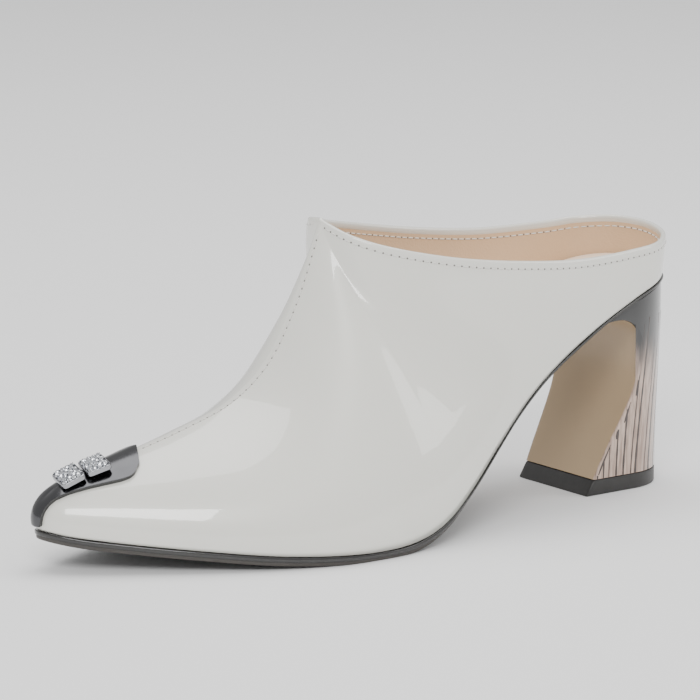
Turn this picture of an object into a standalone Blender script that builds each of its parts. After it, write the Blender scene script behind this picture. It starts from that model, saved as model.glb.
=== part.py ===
"""Left pointed-toe mule with a low heel band and a tapering block heel.

Every form comes from a few loops round the foot: the edge where the upper meets the sole, the
ridge and collar at the top, and the wall drawn between them. Sizes are in millimetres until a
mesh is made. X runs from the toe to the heel, minus Y is the lateral side, Z is up.
"""
import bpy
import bmesh
import numpy as np
from math import cos, pi, radians, sin

# Driving sizes
LENGTH = 240.0
BALL_WIDTH = 81.0
INSTEP_HEIGHT = 102.0
SEAT_HEIGHT = 73.0
WALL = 1.8
FIT_GAP = 0.3
SOLE_EDGE = 2.9
SHANK_EDGE = 1.3
WELT_STEP = 0.5
WELT_SHARE = 0.55
SOCK_THICK = 3.4
SOCK_BEVEL = 0.8
SOLE_PROUD = 0.5
SOLE_EASE = 0.25
LIFT_HIGH = 5.3
LIFT_SLANT = 3.2
LIFT_PROUD = 0.2
LIFT_EASE = 0.4
HEEL_INSET = 1.4
HEEL_LIP = 6.0
PLATE_THICK = 1.1
PLATE_END_ROW = 3.22
BLOCK_LONG = 8.3
BLOCK_WIDE = 10.0
BLOCK_HIGH = 2.0
BLOCK_ROUND = 1.6
BLOCK_EASE = 0.3
BLOCK_GAP = 0.6
BLOCK_TURN = -14.0
BLOCK_TIP = 0.1
THROAT_ROW = 9
MM = 0.001

# How finely the forms are cut
ROW_CUTS = 3
WALL_CUTS = 12
SOLE_CUTS = 6
HEEL_CUTS = 20
HEEL_ARC = 10

# One row per section, from the toe tip to the heel back. Lengths are percent of LENGTH, sides are
# percent of BALL_WIDTH (minus is lateral), heights are percent of INSTEP_HEIGHT. Swell is the
# outward lean of the wall at the sole in degrees; rise and reach are shares of the wall's height
# and span that its bends take; crest is the fall across the ridge; lead is how far the upper bend
# lies towards the toe; wrap is 0 where the wall closes over the foot and 1 where it stops at the
# collar.
COLUMNS = ("edge_along", "edge_lat", "edge_med", "top_along", "top_lat", "top_med", "high_lat",
           "high_med", "swell_lat", "swell_med", "rise", "reach", "crest", "lead", "wrap")
SECTIONS = (
    (0.0, 10.5, 10.5, 2.9, 9.8, 9.8, 25.0, 25.0, 14, 14, 0.62, 0.55, 0.05, -1.6, 0.0),
    (0.7, 4.0, 15.6, 4.0, 9.6, 9.6, 26.2, 26.2, 14, 14, 0.60, 0.55, 0.05, -1.8, 0.0),
    (2.7, -2.5, 18.2, 6.7, 9.2, 9.2, 28.7, 28.7, 13, 13, 0.56, 0.52, 0.08, -2.1, 0.0),
    (8.5, -14.5, 25.7, 12.9, 7.8, 7.8, 33.0, 33.0, 12, 12, 0.50, 0.50, 0.12, -2.2, 0.0),
    (16.5, -30.0, 35.2, 21.2, 6.0, 6.0, 38.7, 38.7, 12, 12, 0.46, 0.50, 0.16, -2.35, 0.0),
    (25.0, -43.8, 42.0, 28.8, 4.6, 4.6, 45.5, 45.5, 12, 12, 0.44, 0.50, 0.18, -1.9, 0.0),
    (33.0, -52.2, 44.4, 34.6, 3.6, 3.6, 56.9, 56.9, 11, 11, 0.42, 0.50, 0.20, -1.4, 0.0),
    (40.0, -54.3, 42.0, 38.8, 3.0, 3.0, 74.0, 74.0, 9, 10, 0.40, 0.48, 0.22, -1.15, 0.0),
    (46.0, -53.3, 37.0, 41.4, 2.5, 2.5, 89.5, 89.5, 7, 9, 0.38, 0.46, 0.26, -1.25, 0.1),
    (51.0, -51.2, 32.7, 42.8, 2.2, 2.2, 99.3, 99.3, 5, 8, 0.36, 0.42, 0.30, -1.4, 0.3),
    (56.0, -47.0, 29.4, 44.4, -12.0, 16.6, 95.1, 97.8, 3, 7, 0.36, 0.38, 0.30, -1.05, 0.7),
    (62.0, -41.7, 27.2, 49.0, -23.0, 26.0, 91.0, 95.0, 2, 6, 0.36, 0.36, 0.20, -0.4, 1.0),
    (68.5, -37.0, 27.2, 57.5, -32.0, 33.0, 86.7, 91.0, 2, 6, 0.36, 0.34, 0.14, 0.0, 1.0),
    (75.0, -34.0, 28.4, 67.5, -35.6, 36.0, 83.6, 87.0, 4, 7, 0.36, 0.34, 0.10, 0.0, 1.0),
    (82.0, -32.5, 30.2, 78.3, -35.2, 35.4, 81.5, 84.3, 6, 7, 0.36, 0.34, 0.04, 0.0, 1.0),
    (89.0, -31.1, 30.9, 89.0, -32.4, 32.4, 82.0, 84.3, 7, 7, 0.36, 0.34, 0.00, 0.0, 1.0),
    (94.2, -26.8, 26.8, 94.4, -28.0, 28.0, 82.8, 85.3, 6, 6, 0.36, 0.34, 0.00, 0.0, 1.0),
    (98.0, -15.6, 15.6, 98.4, -16.2, 16.2, 84.3, 86.0, 6, 6, 0.36, 0.34, 0.00, 0.0, 1.0),
    (99.3, 0.0, 0.0, 99.8, 0.0, 0.0, 85.6, 85.6, 6, 6, 0.36, 0.34, 0.00, 0.0, 1.0),
)

# The line where the upper meets the sole, seen from the side: percent of LENGTH, percent of SEAT_HEIGHT
SEAT_LINE = (
    (0.0, 18.4), (2.7, 16.3), (8.5, 13.2), (16.5, 9.7), (25.0, 6.4), (33.0, 4.6), (40.0, 3.9),
    (43.0, 4.2), (46.0, 5.5), (48.6, 7.9), (51.0, 11.2), (53.4, 15.8), (56.0, 21.5), (59.0, 29.2),
    (62.0, 37.8), (65.2, 47.0), (68.5, 55.5), (71.7, 63.0), (75.0, 69.6), (78.5, 76.0), (82.0, 82.3),
    (85.6, 88.0), (89.0, 92.6), (92.5, 96.2), (96.0, 98.7), (100.0, 100.0),
)

# The heel's front face, seen from the side, from the lift up to the arch under the shank:
# percent of LENGTH, percent of SEAT_HEIGHT
BREAST = (
    (84.25, 7.7), (85.1, 13.7), (86.6, 23.3), (88.25, 33.6), (89.6, 42.5), (90.5, 51.4),
    (90.95, 60.3), (90.85, 68.5), (90.2, 75.1), (89.0, 79.9), (87.35, 82.5), (85.4, 82.9),
)

# The heel's half width: percent of SEAT_HEIGHT, percent of BALL_WIDTH
HEEL_SIDE = (
    (0.0, 22.5), (7.7, 22.6), (27.4, 23.95), (47.9, 26.2), (68.5, 28.6), (84.9, 30.5), (102.7, 31.1),
)

# Where the toe plate's edge crosses the wall: section row, share of the wall
PLATE_EDGE = (
    (0.0, 0.06), (0.42, 0.07), (0.55, 0.32), (0.74, 0.46), (1.04, 0.55), (1.7, 0.595), (2.3, 0.615),
    (2.9, 0.615), (3.08, 0.635), (3.17, 0.69), (3.22, 0.78),
)

# The middle of the front stone block on the toe plate: percent of LENGTH, percent of BALL_WIDTH
BLOCK_PLACE = (4.54, 8.15)

MATERIALS = {
    "upper_patent": ((0.80, 0.80, 0.76), 0.0, 0.12),
    "sock_leather": ((0.90, 0.76, 0.60), 0.0, 0.55),
    "sole_rubber": ((0.02, 0.02, 0.02), 0.0, 0.45),
    "heel_plastic": ((0.10, 0.08, 0.07), 0.0, 0.15),
    "lift_rubber": ((0.02, 0.02, 0.02), 0.0, 0.55),
    "plate_metal": ((0.12, 0.12, 0.13), 1.0, 0.16),
    "stone_setting": ((0.45, 0.45, 0.47), 1.0, 0.25),
}


def cubic(x, y, t, closed=False):
    """Smooth curve through the rows y at x, read at t."""
    x, y = np.asarray(x, float), np.asarray(y, float)
    h = np.diff(x)
    d = np.diff(y, axis=0) / h[:, None]
    m = np.zeros_like(y)
    m[1:-1] = (d[:-1] * h[1:, None] + d[1:] * h[:-1, None]) / (h[:-1] + h[1:])[:, None]
    if closed:
        m[0] = m[-1] = (d[-1] * h[0] + d[0] * h[-1]) / (h[0] + h[-1])
    else:
        m[0] = 1.5 * d[0] - 0.5 * m[1]
        m[-1] = 1.5 * d[-1] - 0.5 * m[-2]
    t = np.atleast_1d(np.clip(t, x[0], x[-1]))
    k = np.clip(np.searchsorted(x, t, side="right") - 1, 0, len(x) - 2)
    u = ((t - x[k]) / h[k])[:, None]
    w = h[k][:, None]
    return (y[k] * (1 + 2 * u) * (1 - u) ** 2 + m[k] * w * u * (1 - u) ** 2
            + y[k + 1] * u * u * (3 - 2 * u) + m[k + 1] * w * u * u * (u - 1))


def line_at(rows, x):
    """Second column of a two-column table, read smoothly at x."""
    rows = np.array(rows, float)
    return cubic(rows[:, 0], rows[:, 1:], np.ravel(x))[:, 0].reshape(np.shape(x))


def seat_line(s):
    """Height of the upper's lower edge at the distance s from the toe."""
    rows = np.array(SEAT_LINE) * (LENGTH / 100, SEAT_HEIGHT / 100)
    return line_at(rows, s)


def sole_edge(s):
    """Thickness of the sole at the distance s from the toe."""
    share = np.clip((np.asarray(s, float) / LENGTH - 0.44) / 0.14, 0, 1)
    share = share * share * (3 - 2 * share)
    return SOLE_EDGE + (SHANK_EDGE - SOLE_EDGE) * share


def sole_under(s):
    """Height of the sole's lower face, flat on the floor under the ball."""
    return np.maximum(seat_line(s) - FIT_GAP - sole_edge(s), 0.0)


def heel_seat(s):
    """Height of the heel's upper face under the shank."""
    return float(sole_under(s)) - FIT_GAP


def heel_back():
    """Distance of the heel's back from the toe."""
    return LENGTH - HEEL_INSET


def heel_half(high):
    """Half width of the heel at a height."""
    rows = np.array(HEEL_SIDE) * (SEAT_HEIGHT / 100, BALL_WIDTH / 100)
    return float(line_at(rows, high))


class Last:
    """The foot's outer form as loops of control points round the shoe."""

    def __init__(self):
        r = {name: np.array([row[i] for row in SECTIONS], float) for i, name in enumerate(COLUMNS)}
        self.rows = len(SECTIONS) - 1
        along, across, high = LENGTH / 100, BALL_WIDTH / 100, INSTEP_HEIGHT / 100
        s = r["edge_along"] * along
        edge, top = {}, {}
        for side, tag in ((-1, "lat"), (1, "med")):
            edge[side] = np.stack([s, r["edge_" + tag] * across, seat_line(s)], 1)
            top[side] = np.stack([r["top_along"] * along, r["top_" + tag] * across,
                                  r["high_" + tag] * high], 1)
        self.top = top
        self.turn = np.arange(2 * self.rows + 1)
        self.ring = self.loop(edge)
        out = self.outward(self.turn)
        ridge = top[-1][:THROAT_ROW + 1]
        slope = np.gradient(ridge[:, 2], ridge[:, 0])
        slope[0] = 0.9
        slope = np.interp(np.arange(self.rows + 1), np.arange(THROAT_ROW + 1), slope)
        low, up = {}, {}
        for side, tag in ((-1, "lat"), (1, "med")):
            index = self.turn[:self.rows + 1] if side < 0 else (2 * self.rows - self.turn[:self.rows + 1])
            n = out[index]
            e, t = edge[side], top[side]
            tall = t[:, 2] - e[:, 2]
            bend = tall * r["rise"]
            lean = np.tan(np.radians(r["swell_" + tag])) * bend
            low[side] = e + np.stack([n[:, 0] * lean, n[:, 1] * lean, bend], 1)
            dy = (e[:, 1] - t[:, 1]) * r["reach"]
            lead = r["lead"] * along
            over = np.stack([lead, dy, lead * slope - np.abs(dy) * r["crest"]], 1)
            down = np.stack([n[:, 0] * r["crest"], n[:, 1] * r["crest"], -np.ones(len(tall))], 1)
            down *= (tall * r["reach"])[:, None]
            wrap = r["wrap"][:, None]
            up[side] = t + over * (1 - wrap) + down * wrap
        self.low, self.up = self.loop(low), self.loop(up)

    def loop(self, sides):
        """Lateral rows from toe to heel, then medial rows back to the toe, as one ring."""
        return np.concatenate([sides[-1], sides[1][-2:0:-1], sides[-1][:1]])

    def turn_of(self, side, row):
        return row if side < 0 else (2 * self.rows - row) % (2 * self.rows)

    def outward(self, turn):
        """Outward direction in plan of the sole's edge at turns of the ring."""
        full = 2 * self.rows
        step = 0.02
        tangent = (cubic(self.turn, self.ring, (turn + step) % full, closed=True)
                   - cubic(self.turn, self.ring, (turn - step) % full, closed=True))[:, :2]
        tangent /= np.linalg.norm(tangent, axis=1)[:, None]
        return np.stack([tangent[:, 1], -tangent[:, 0]], 1)

    def crown(self, side, row):
        """The ridge in front of the throat, the collar behind it."""
        mine, k = self.top[side], THROAT_ROW
        front = cubic(np.arange(-1, k + 1), np.concatenate([mine[1:2], mine[:k + 1]]), np.minimum(row, k))
        rest = np.concatenate([mine[k:], self.top[-side][-2:-3:-1]])
        back = cubic(np.arange(k, self.rows + 2), rest, np.maximum(row, k))
        return np.where((row <= k)[:, None], front, back)

    def wall(self, side, row, share):
        """Point of the outer face: row from toe (0) to heel, share from the sole (0) to the top (1)."""
        row = np.atleast_1d(np.asarray(row, float))
        turn = self.turn_of(side, row)
        a, b, c = (cubic(self.turn, ring, turn, closed=True) for ring in (self.ring, self.low, self.up))
        v = np.broadcast_to(np.asarray(share, float), row.shape)[:, None]
        return (a * (1 - v) ** 3 + 3 * b * v * (1 - v) ** 2 + 3 * c * v * v * (1 - v)
                + self.crown(side, row) * v ** 3)

    def edge(self, side, row, outset=0.0):
        """Plan point of the sole's edge, moved outward by outset."""
        row = np.atleast_1d(np.asarray(row, float))
        turn = self.turn_of(side, row)
        return cubic(self.turn, self.ring, turn, closed=True)[:, :2] + self.outward(turn) * outset


def fresh_collection(name):
    collection = bpy.data.collections.new(name)
    bpy.context.scene.collection.children.link(collection)
    return collection


def material(name):
    colour, metallic, roughness = MATERIALS[name]
    made = bpy.data.materials.new(name)
    made.use_nodes = True
    shader = made.node_tree.nodes["Principled BSDF"]
    shader.inputs["Base Color"].default_value = (*colour, 1.0)
    shader.inputs["Metallic"].default_value = metallic
    shader.inputs["Roughness"].default_value = roughness
    return made


def solid(name, points, faces, look, collection):
    """A named object from points in millimetres."""
    mesh = bpy.data.meshes.new(name)
    moved = [(x * MM, y * MM, z * MM) for x, y, z in points]
    mesh.from_pydata(moved, [], faces)
    work = bmesh.new()
    work.from_mesh(mesh)
    bmesh.ops.remove_doubles(work, verts=work.verts, dist=0.00001)
    bmesh.ops.recalc_face_normals(work, faces=work.faces)
    work.to_mesh(mesh)
    work.free()
    mesh.materials.append(material(look))
    made = bpy.data.objects.new(name, mesh)
    collection.objects.link(made)
    return made


def facing(points, faces, inside):
    """Turn a sheet's faces so that they look away from the point inside."""
    total = 0.0
    for face in faces:
        p = points[list(face)]
        normal = np.cross(p[1] - p[0], p[2] - p[0])
        total += np.dot(normal, p.mean(0) - inside)
    return faces if total > 0 else [tuple(reversed(face)) for face in faces]


def normals(points, faces):
    """Average normal at each point of a sheet."""
    total = np.zeros_like(points)
    for face in faces:
        p = points[list(face)]
        n = np.cross(p[2] - p[0], (p[3] if len(face) > 3 else p[1]) - p[1 if len(face) > 3 else 0])
        for corner in face:
            total[corner] += n
    return total / np.maximum(np.linalg.norm(total, axis=1), 1e-9)[:, None]


def wall_sheet(last, rows, shares, first_share=None):
    """Sheet of the upper's outer face, both sides joined along the ridge.

    rows are the section rows it is cut at, shares run from the sole to the top, and first_share
    moves the lower end of the wall up at each row.
    """
    cuts, whole = len(rows) - 1, rows[-1] == last.rows
    points, index = [], {}
    for side in (-1, 1):
        for j, share in enumerate(shares):
            start = 0.0 if first_share is None else first_share(rows)
            here = last.wall(side, rows, start + (1 - start) * share)
            for i, p in enumerate(here):
                shared = side == 1 and (i == 0 or (whole and i == cuts)
                                        or (j == len(shares) - 1 and rows[i] <= THROAT_ROW + 1e-9))
                if shared:
                    index[side, i, j] = index[-1, i, j]
                else:
                    index[side, i, j] = len(points)
                    points.append(p)
    faces = []
    for side in (-1, 1):
        for i in range(cuts):
            for j in range(len(shares) - 1):
                corners = [index[side, i, j], index[side, i + 1, j], index[side, i + 1, j + 1], index[side, i, j + 1]]
                if side > 0:
                    corners.reverse()
                faces.append(tuple(corners))
    return np.array(points), faces


def thicken(points, faces, outer, inner):
    """Closed solid between two offsets of a sheet."""
    n = normals(points, faces)
    count = len(points)
    both = np.concatenate([points + n * outer, points + n * inner])
    made = list(faces) + [tuple(count + c for c in reversed(face)) for face in faces]
    edges = {}
    for face in faces:
        for a, b in zip(face, face[1:] + face[:1]):
            edges[a, b] = True
    for a, b in edges:
        if (b, a) not in edges:
            made.append((b, a, a + count, b + count))
    return both, made


def plank(last, columns, cuts, levels, start_row=0.0):
    """Plate that follows the sole's plan: levels are (outset, height function) from top to bottom."""
    rows = np.linspace(start_row, last.rows, cuts + 1)
    points, index = [], {}

    def put(key, p):
        index[key] = len(points)
        points.append(p)

    def fill(name, outset, height):
        lat, med = last.edge(-1, rows, outset), last.edge(1, rows, outset)
        for i in range(cuts + 1):
            pointed = i == cuts or (i == 0 and start_row == 0.0)
            for c in range(columns + 1):
                if pointed and c:
                    index[name, i, c] = index[name, i, 0]
                    continue
                xy = lat[i] if pointed else lat[i] + (med[i] - lat[i]) * c / columns
                put((name, i, c), (xy[0], xy[1], float(height(xy[0]))))

    names = [str(k) for k in range(len(levels))]
    for name, (outset, height) in zip(names, levels):
        fill(name, outset, height)
    faces = []

    def cap(name, flip):
        for i in range(cuts):
            for c in range(columns):
                ring = [index[name, i, c], index[name, i + 1, c], index[name, i + 1, c + 1], index[name, i, c + 1]]
                ring = list(dict.fromkeys(ring))
                if len(ring) > 2:
                    faces.append(tuple(reversed(ring)) if flip else tuple(ring))

    cap(names[0], False)
    cap(names[-1], True)
    for up, down in zip(names, names[1:]):
        for c, flip in ((0, True), (columns, False)):
            for i in range(cuts):
                ring = [index[up, i, c], index[up, i + 1, c], index[down, i + 1, c], index[down, i, c]]
                ring = list(dict.fromkeys(ring))
                if len(ring) > 2:
                    faces.append(tuple(reversed(ring)) if flip else tuple(ring))
    used = sorted({c for face in faces for c in face})
    new = {old: k for k, old in enumerate(used)}
    return [points[k] for k in used], [tuple(new[c] for c in face) for face in faces]


def make_upper(last, collection):
    shares = np.linspace(0, 1, WALL_CUTS + 1)
    points, faces = wall_sheet(last, np.linspace(0, last.rows, last.rows * ROW_CUTS + 1), shares)
    faces = facing(points, faces, np.array((LENGTH / 2, 0.0, SEAT_HEIGHT / 2)))
    points, faces = thicken(points, faces, 0.0, -WALL)
    return solid("upper", points, faces, "upper_patent", collection)


def make_insole(last, collection):
    inset = -(WALL + 2 * FIT_GAP)
    thin = lambda rise: lambda s: seat_line(s) + rise
    levels = ((inset - SOCK_BEVEL, thin(SOCK_THICK)), (inset - 0.25 * SOCK_BEVEL, thin(SOCK_THICK - 0.35 * SOCK_BEVEL)),
              (inset, thin(SOCK_THICK - SOCK_BEVEL)), (inset, thin(FIT_GAP)))
    points, faces = plank(last, SOLE_CUTS, last.rows * ROW_CUTS, levels)
    return solid("insole", points, faces, "sock_leather", collection)


def make_outsole(last, collection):
    top = lambda s: seat_line(s) - FIT_GAP
    under = sole_under
    step = lambda s: top(s) - (top(s) - under(s)) * WELT_SHARE
    low = SOLE_PROUD - WELT_STEP
    levels = ((SOLE_PROUD - SOLE_EASE, top), (SOLE_PROUD, lambda s: top(s) - SOLE_EASE), (SOLE_PROUD, step),
              (low, step), (low, lambda s: under(s) + SOLE_EASE), (low - SOLE_EASE, under))
    points, faces = plank(last, SOLE_CUTS, last.rows * ROW_CUTS, levels)
    return solid("outsole", points, faces, "sole_rubber", collection)


def heel_loop(front, half, back, arc=HEEL_ARC, side_cuts=4):
    """Plan of the heel: a straight front, straight sides and a round back."""
    middle = back - half
    loop = []
    for side in (-1, 1):
        part = [(front + (middle - front) * k / side_cuts, side * half) for k in range(side_cuts)]
        part += [(middle + half * sin(a), side * half * cos(a)) for a in np.linspace(0, pi / 2, arc + 1)]
        loop += part if side < 0 else part[-2::-1]
    return loop


def side_faces(count, levels):
    """Quads between loops of points that lie one above the other."""
    faces = []
    for k in range(levels - 1):
        for i in range(count):
            a, b = k * count + i, k * count + (i + 1) % count
            faces.append((a, b, b + count, a + count))
    return faces


def heel_front():
    """The heel's front face from the lift up, then forward along the shank."""
    breast = np.array(BREAST) * (LENGTH / 100, SEAT_HEIGHT / 100)
    breast[0, 1] = LIFT_HIGH + FIT_GAP
    tip = breast[-1, 0] - HEEL_LIP
    return np.concatenate([breast, [(tip, heel_seat(tip))]])


def make_heel(collection):
    line = heel_front()
    back = heel_back()
    steps = np.concatenate([[0], np.cumsum(np.linalg.norm(np.diff(line, axis=0), axis=1))])
    points = []
    levels = np.linspace(0, 1, HEEL_CUTS + 1)
    for level in levels:
        front, front_high = cubic(steps / steps[-1], line, [level])[0]
        back_high = line[0, 1] + (heel_seat(back) - line[0, 1]) * level
        for x, y in heel_loop(front, heel_half(front_high), back):
            along = (x - front) / (back - front)
            straight = front_high + (back_high - front_high) * along
            ends = heel_seat(front) + (heel_seat(back) - heel_seat(front)) * along
            bow = (heel_seat(x) - ends) * level ** 3
            points.append((x, y, min(straight + bow, heel_seat(x))))
    count = len(points) // len(levels)
    faces = side_faces(count, len(levels))
    for base, flip in ((0, True), (len(points) - count, False)):
        for i in range(count // 2):
            ring = [base + i, base + i + 1, base + count - 2 - i, base + count - 1 - i]
            ring = list(dict.fromkeys(ring))
            if len(ring) > 2:
                faces.append(tuple(reversed(ring)) if flip else tuple(ring))
    return solid("heel_block", points, faces, "heel_plastic", collection)


def make_lift(collection):
    foot = heel_front()[0, 0]
    points = []
    for high, inset in ((0.0, LIFT_EASE), (LIFT_EASE, 0.0), (LIFT_HIGH, 0.0)):
        front = foot - LIFT_SLANT * (1 - high / LIFT_HIGH) + inset
        loop = heel_loop(front, heel_half(0.0) - inset, heel_back() + LIFT_PROUD - inset)
        points += [(x, y, high) for x, y in loop]
    count = len(loop)
    faces = side_faces(count, 3) + [tuple(range(count - 1, -1, -1)), tuple(range(2 * count, 3 * count))]
    return solid("top_piece", points, faces, "lift_rubber", collection)


def plate_edge(rows):
    """Share of the wall where the toe plate begins: the whole nose at the tip, a tongue behind."""
    table = np.array(PLATE_EDGE)
    return np.interp(rows, table[:, 0], table[:, 1])


def plate_rows():
    """Section rows that the toe plate is cut at, close together at the nose and at its end."""
    return np.concatenate([np.linspace(0, 1.0, 13)[:-1], np.linspace(1.0, 2.9, 9)[:-1],
                           np.linspace(2.9, PLATE_END_ROW, 8)])


def make_plate(last, collection):
    shares = np.linspace(0, 1, 8)
    points, faces = wall_sheet(last, plate_rows(), shares, plate_edge)
    faces = facing(points, faces, np.array((LENGTH / 6, BALL_WIDTH / 16, SEAT_HEIGHT / 5)))
    points, faces = thicken(points, faces, FIT_GAP + PLATE_THICK, FIT_GAP)
    solid("toe_plate", points, faces, "plate_metal", collection)
    return points[:len(points) // 2]


def rounded_ring(long, wide, radius, cuts=4):
    """Rectangle with round corners, centred."""
    ring = []
    for cx, cy, turn in ((1, 1, 0), (-1, 1, 90), (-1, -1, 180), (1, -1, 270)):
        for k in range(cuts + 1):
            a = radians(turn + 90 * k / cuts)
            ring.append((cx * (long / 2 - radius) + radius * cos(a), cy * (wide / 2 - radius) + radius * sin(a)))
    return ring


def block_frame(last, place):
    """Middle and three directions of a block lying on the toe's ridge."""
    rows = np.linspace(0.5, 3.0, 200)
    ridge = last.crown(-1, rows)
    k = int(np.abs(ridge[:, 0] - place[0]).argmin())
    ahead = ridge[min(k + 6, 199)] - ridge[max(k - 6, 0)]
    slope = np.arctan2(ahead[2], np.hypot(ahead[0], ahead[1]))
    turn = radians(BLOCK_TURN)
    along = np.array((cos(turn) * cos(slope), sin(turn) * cos(slope), sin(slope) * cos(turn)))
    along /= np.linalg.norm(along)
    across = np.cross((-sin(slope), 0.0, cos(slope)), along)
    across /= np.linalg.norm(across)
    across = across + np.array((0.0, 0.0, BLOCK_TIP))
    across -= along * np.dot(across, along)
    across /= np.linalg.norm(across)
    return np.array((place[0], place[1], ridge[k, 2])), along, across, np.cross(along, across)


def block_places(last):
    """Plan places of the two blocks: the rear one lies behind the front one along its length."""
    front = np.array(BLOCK_PLACE) * (LENGTH / 100, BALL_WIDTH / 100)
    along = block_frame(last, front)[1]
    return {"stone_block_front": front, "stone_block_rear": front + along[:2] * (BLOCK_LONG + BLOCK_GAP)}


def make_block(last, name, place, plate, collection):
    middle, along, across, up = block_frame(last, place)
    offset = plate - middle
    under = (np.abs(offset @ along) < BLOCK_LONG / 2) & (np.abs(offset @ across) < BLOCK_WIDE / 2)
    base = float((offset @ up)[under].max()) + FIT_GAP / 2
    points = []
    for high, inset in ((0.0, 0.0), (BLOCK_HIGH - BLOCK_EASE, 0.0), (BLOCK_HIGH, BLOCK_EASE)):
        ring = rounded_ring(BLOCK_LONG - 2 * inset, BLOCK_WIDE - 2 * inset, BLOCK_ROUND - inset)
        points += [middle + along * a + across * b + up * (base + high) for a, b in ring]
    count = len(ring)
    faces = side_faces(count, 3) + [tuple(range(count - 1, -1, -1)), tuple(range(2 * count, 3 * count))]
    return solid(name, points, faces, "stone_setting", collection)


def centre_plan(collection):
    """Move every object so that the middle of the whole plan is the origin."""
    corners = np.array([v.co for made in collection.objects for v in made.data.vertices])
    middle = (corners.min(0) + corners.max(0)) / 2
    for made in collection.objects:
        for v in made.data.vertices:
            v.co.x -= middle[0]
            v.co.y -= middle[1]


last_form = Last()

for old in list(bpy.data.objects):
    bpy.data.objects.remove(old, do_unlink=True)
part = fresh_collection("pointed_block_heel_mule")
make_upper(last_form, part)
make_insole(last_form, part)
make_outsole(last_form, part)
make_heel(part)
make_lift(part)
plate_face = make_plate(last_form, part)
for block, spot in block_places(last_form).items():
    make_block(last_form, block, spot, plate_face, part)
centre_plan(part)
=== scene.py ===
"""Looks for a left pointed-toe mule in white patent leather, laid out as a Blender add-on.

Sizes are in millimetres until a mesh is made. Along is the distance from the toe, side is the
distance from the heel's axis with minus on the lateral side. A wall point is given by its section
row, from 0 at the toe tip to 18 at the heel back, and its share of the wall, from 0 at the sole to
1 at the ridge or the collar.
"""
from math import cos, pi, radians, sin

import bpy
import bmesh
import numpy as np
from bpy.props import FloatProperty, FloatVectorProperty, IntProperty, PointerProperty
from mathutils import Matrix, Vector


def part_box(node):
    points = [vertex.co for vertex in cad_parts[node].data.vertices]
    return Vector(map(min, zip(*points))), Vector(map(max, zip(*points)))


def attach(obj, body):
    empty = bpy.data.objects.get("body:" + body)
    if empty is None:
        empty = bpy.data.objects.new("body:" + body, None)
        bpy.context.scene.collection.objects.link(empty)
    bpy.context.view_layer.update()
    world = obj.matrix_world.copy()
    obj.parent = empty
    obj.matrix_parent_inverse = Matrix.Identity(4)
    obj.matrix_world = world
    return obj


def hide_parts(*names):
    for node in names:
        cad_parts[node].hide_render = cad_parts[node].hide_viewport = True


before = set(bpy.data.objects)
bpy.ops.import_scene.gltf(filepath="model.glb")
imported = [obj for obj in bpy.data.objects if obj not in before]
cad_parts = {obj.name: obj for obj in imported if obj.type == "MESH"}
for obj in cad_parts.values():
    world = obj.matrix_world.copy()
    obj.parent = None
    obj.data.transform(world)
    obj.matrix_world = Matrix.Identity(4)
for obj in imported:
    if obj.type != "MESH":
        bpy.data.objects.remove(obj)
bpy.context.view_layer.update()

bl_info = {
    "name": "Pointed Block-Heel Mule",
    "version": (1, 0, 0),
    "blender": (4, 5, 0),
    "location": "3D View > Sidebar > Mule",
    "description": "Dresses the solids of a left pointed-toe mule as patent leather, metal and stones",
    "category": "Object",
}

# Driving sizes of the shoe
LENGTH = 240.0
BALL_WIDTH = 81.0
INSTEP_HEIGHT = 102.0
SEAT_HEIGHT = 73.0
WALL = 1.8
FIT_GAP = 0.3
SOLE_EDGE = 2.9
SHANK_EDGE = 1.3
WELT_STEP = 0.5
WELT_SHARE = 0.55
SOCK_THICK = 3.4
SOCK_BEVEL = 0.8
LIFT_HIGH = 5.3
HEEL_BACK = 238.6
LIFT_FRONT = 199.0
LIFT_HALF = 18.2
PLATE_THICK = 1.1
PLATE_END_ROW = 3.22
BLOCK_LONG = 8.3
BLOCK_WIDE = 10.0
BLOCK_HIGH = 2.0
BLOCK_ROUND = 1.6
BLOCK_TURN = -14.0
SKIN = 0.95
THROAT_ROW = 9
LAST_ROW = 18
MM = 0.001

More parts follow.
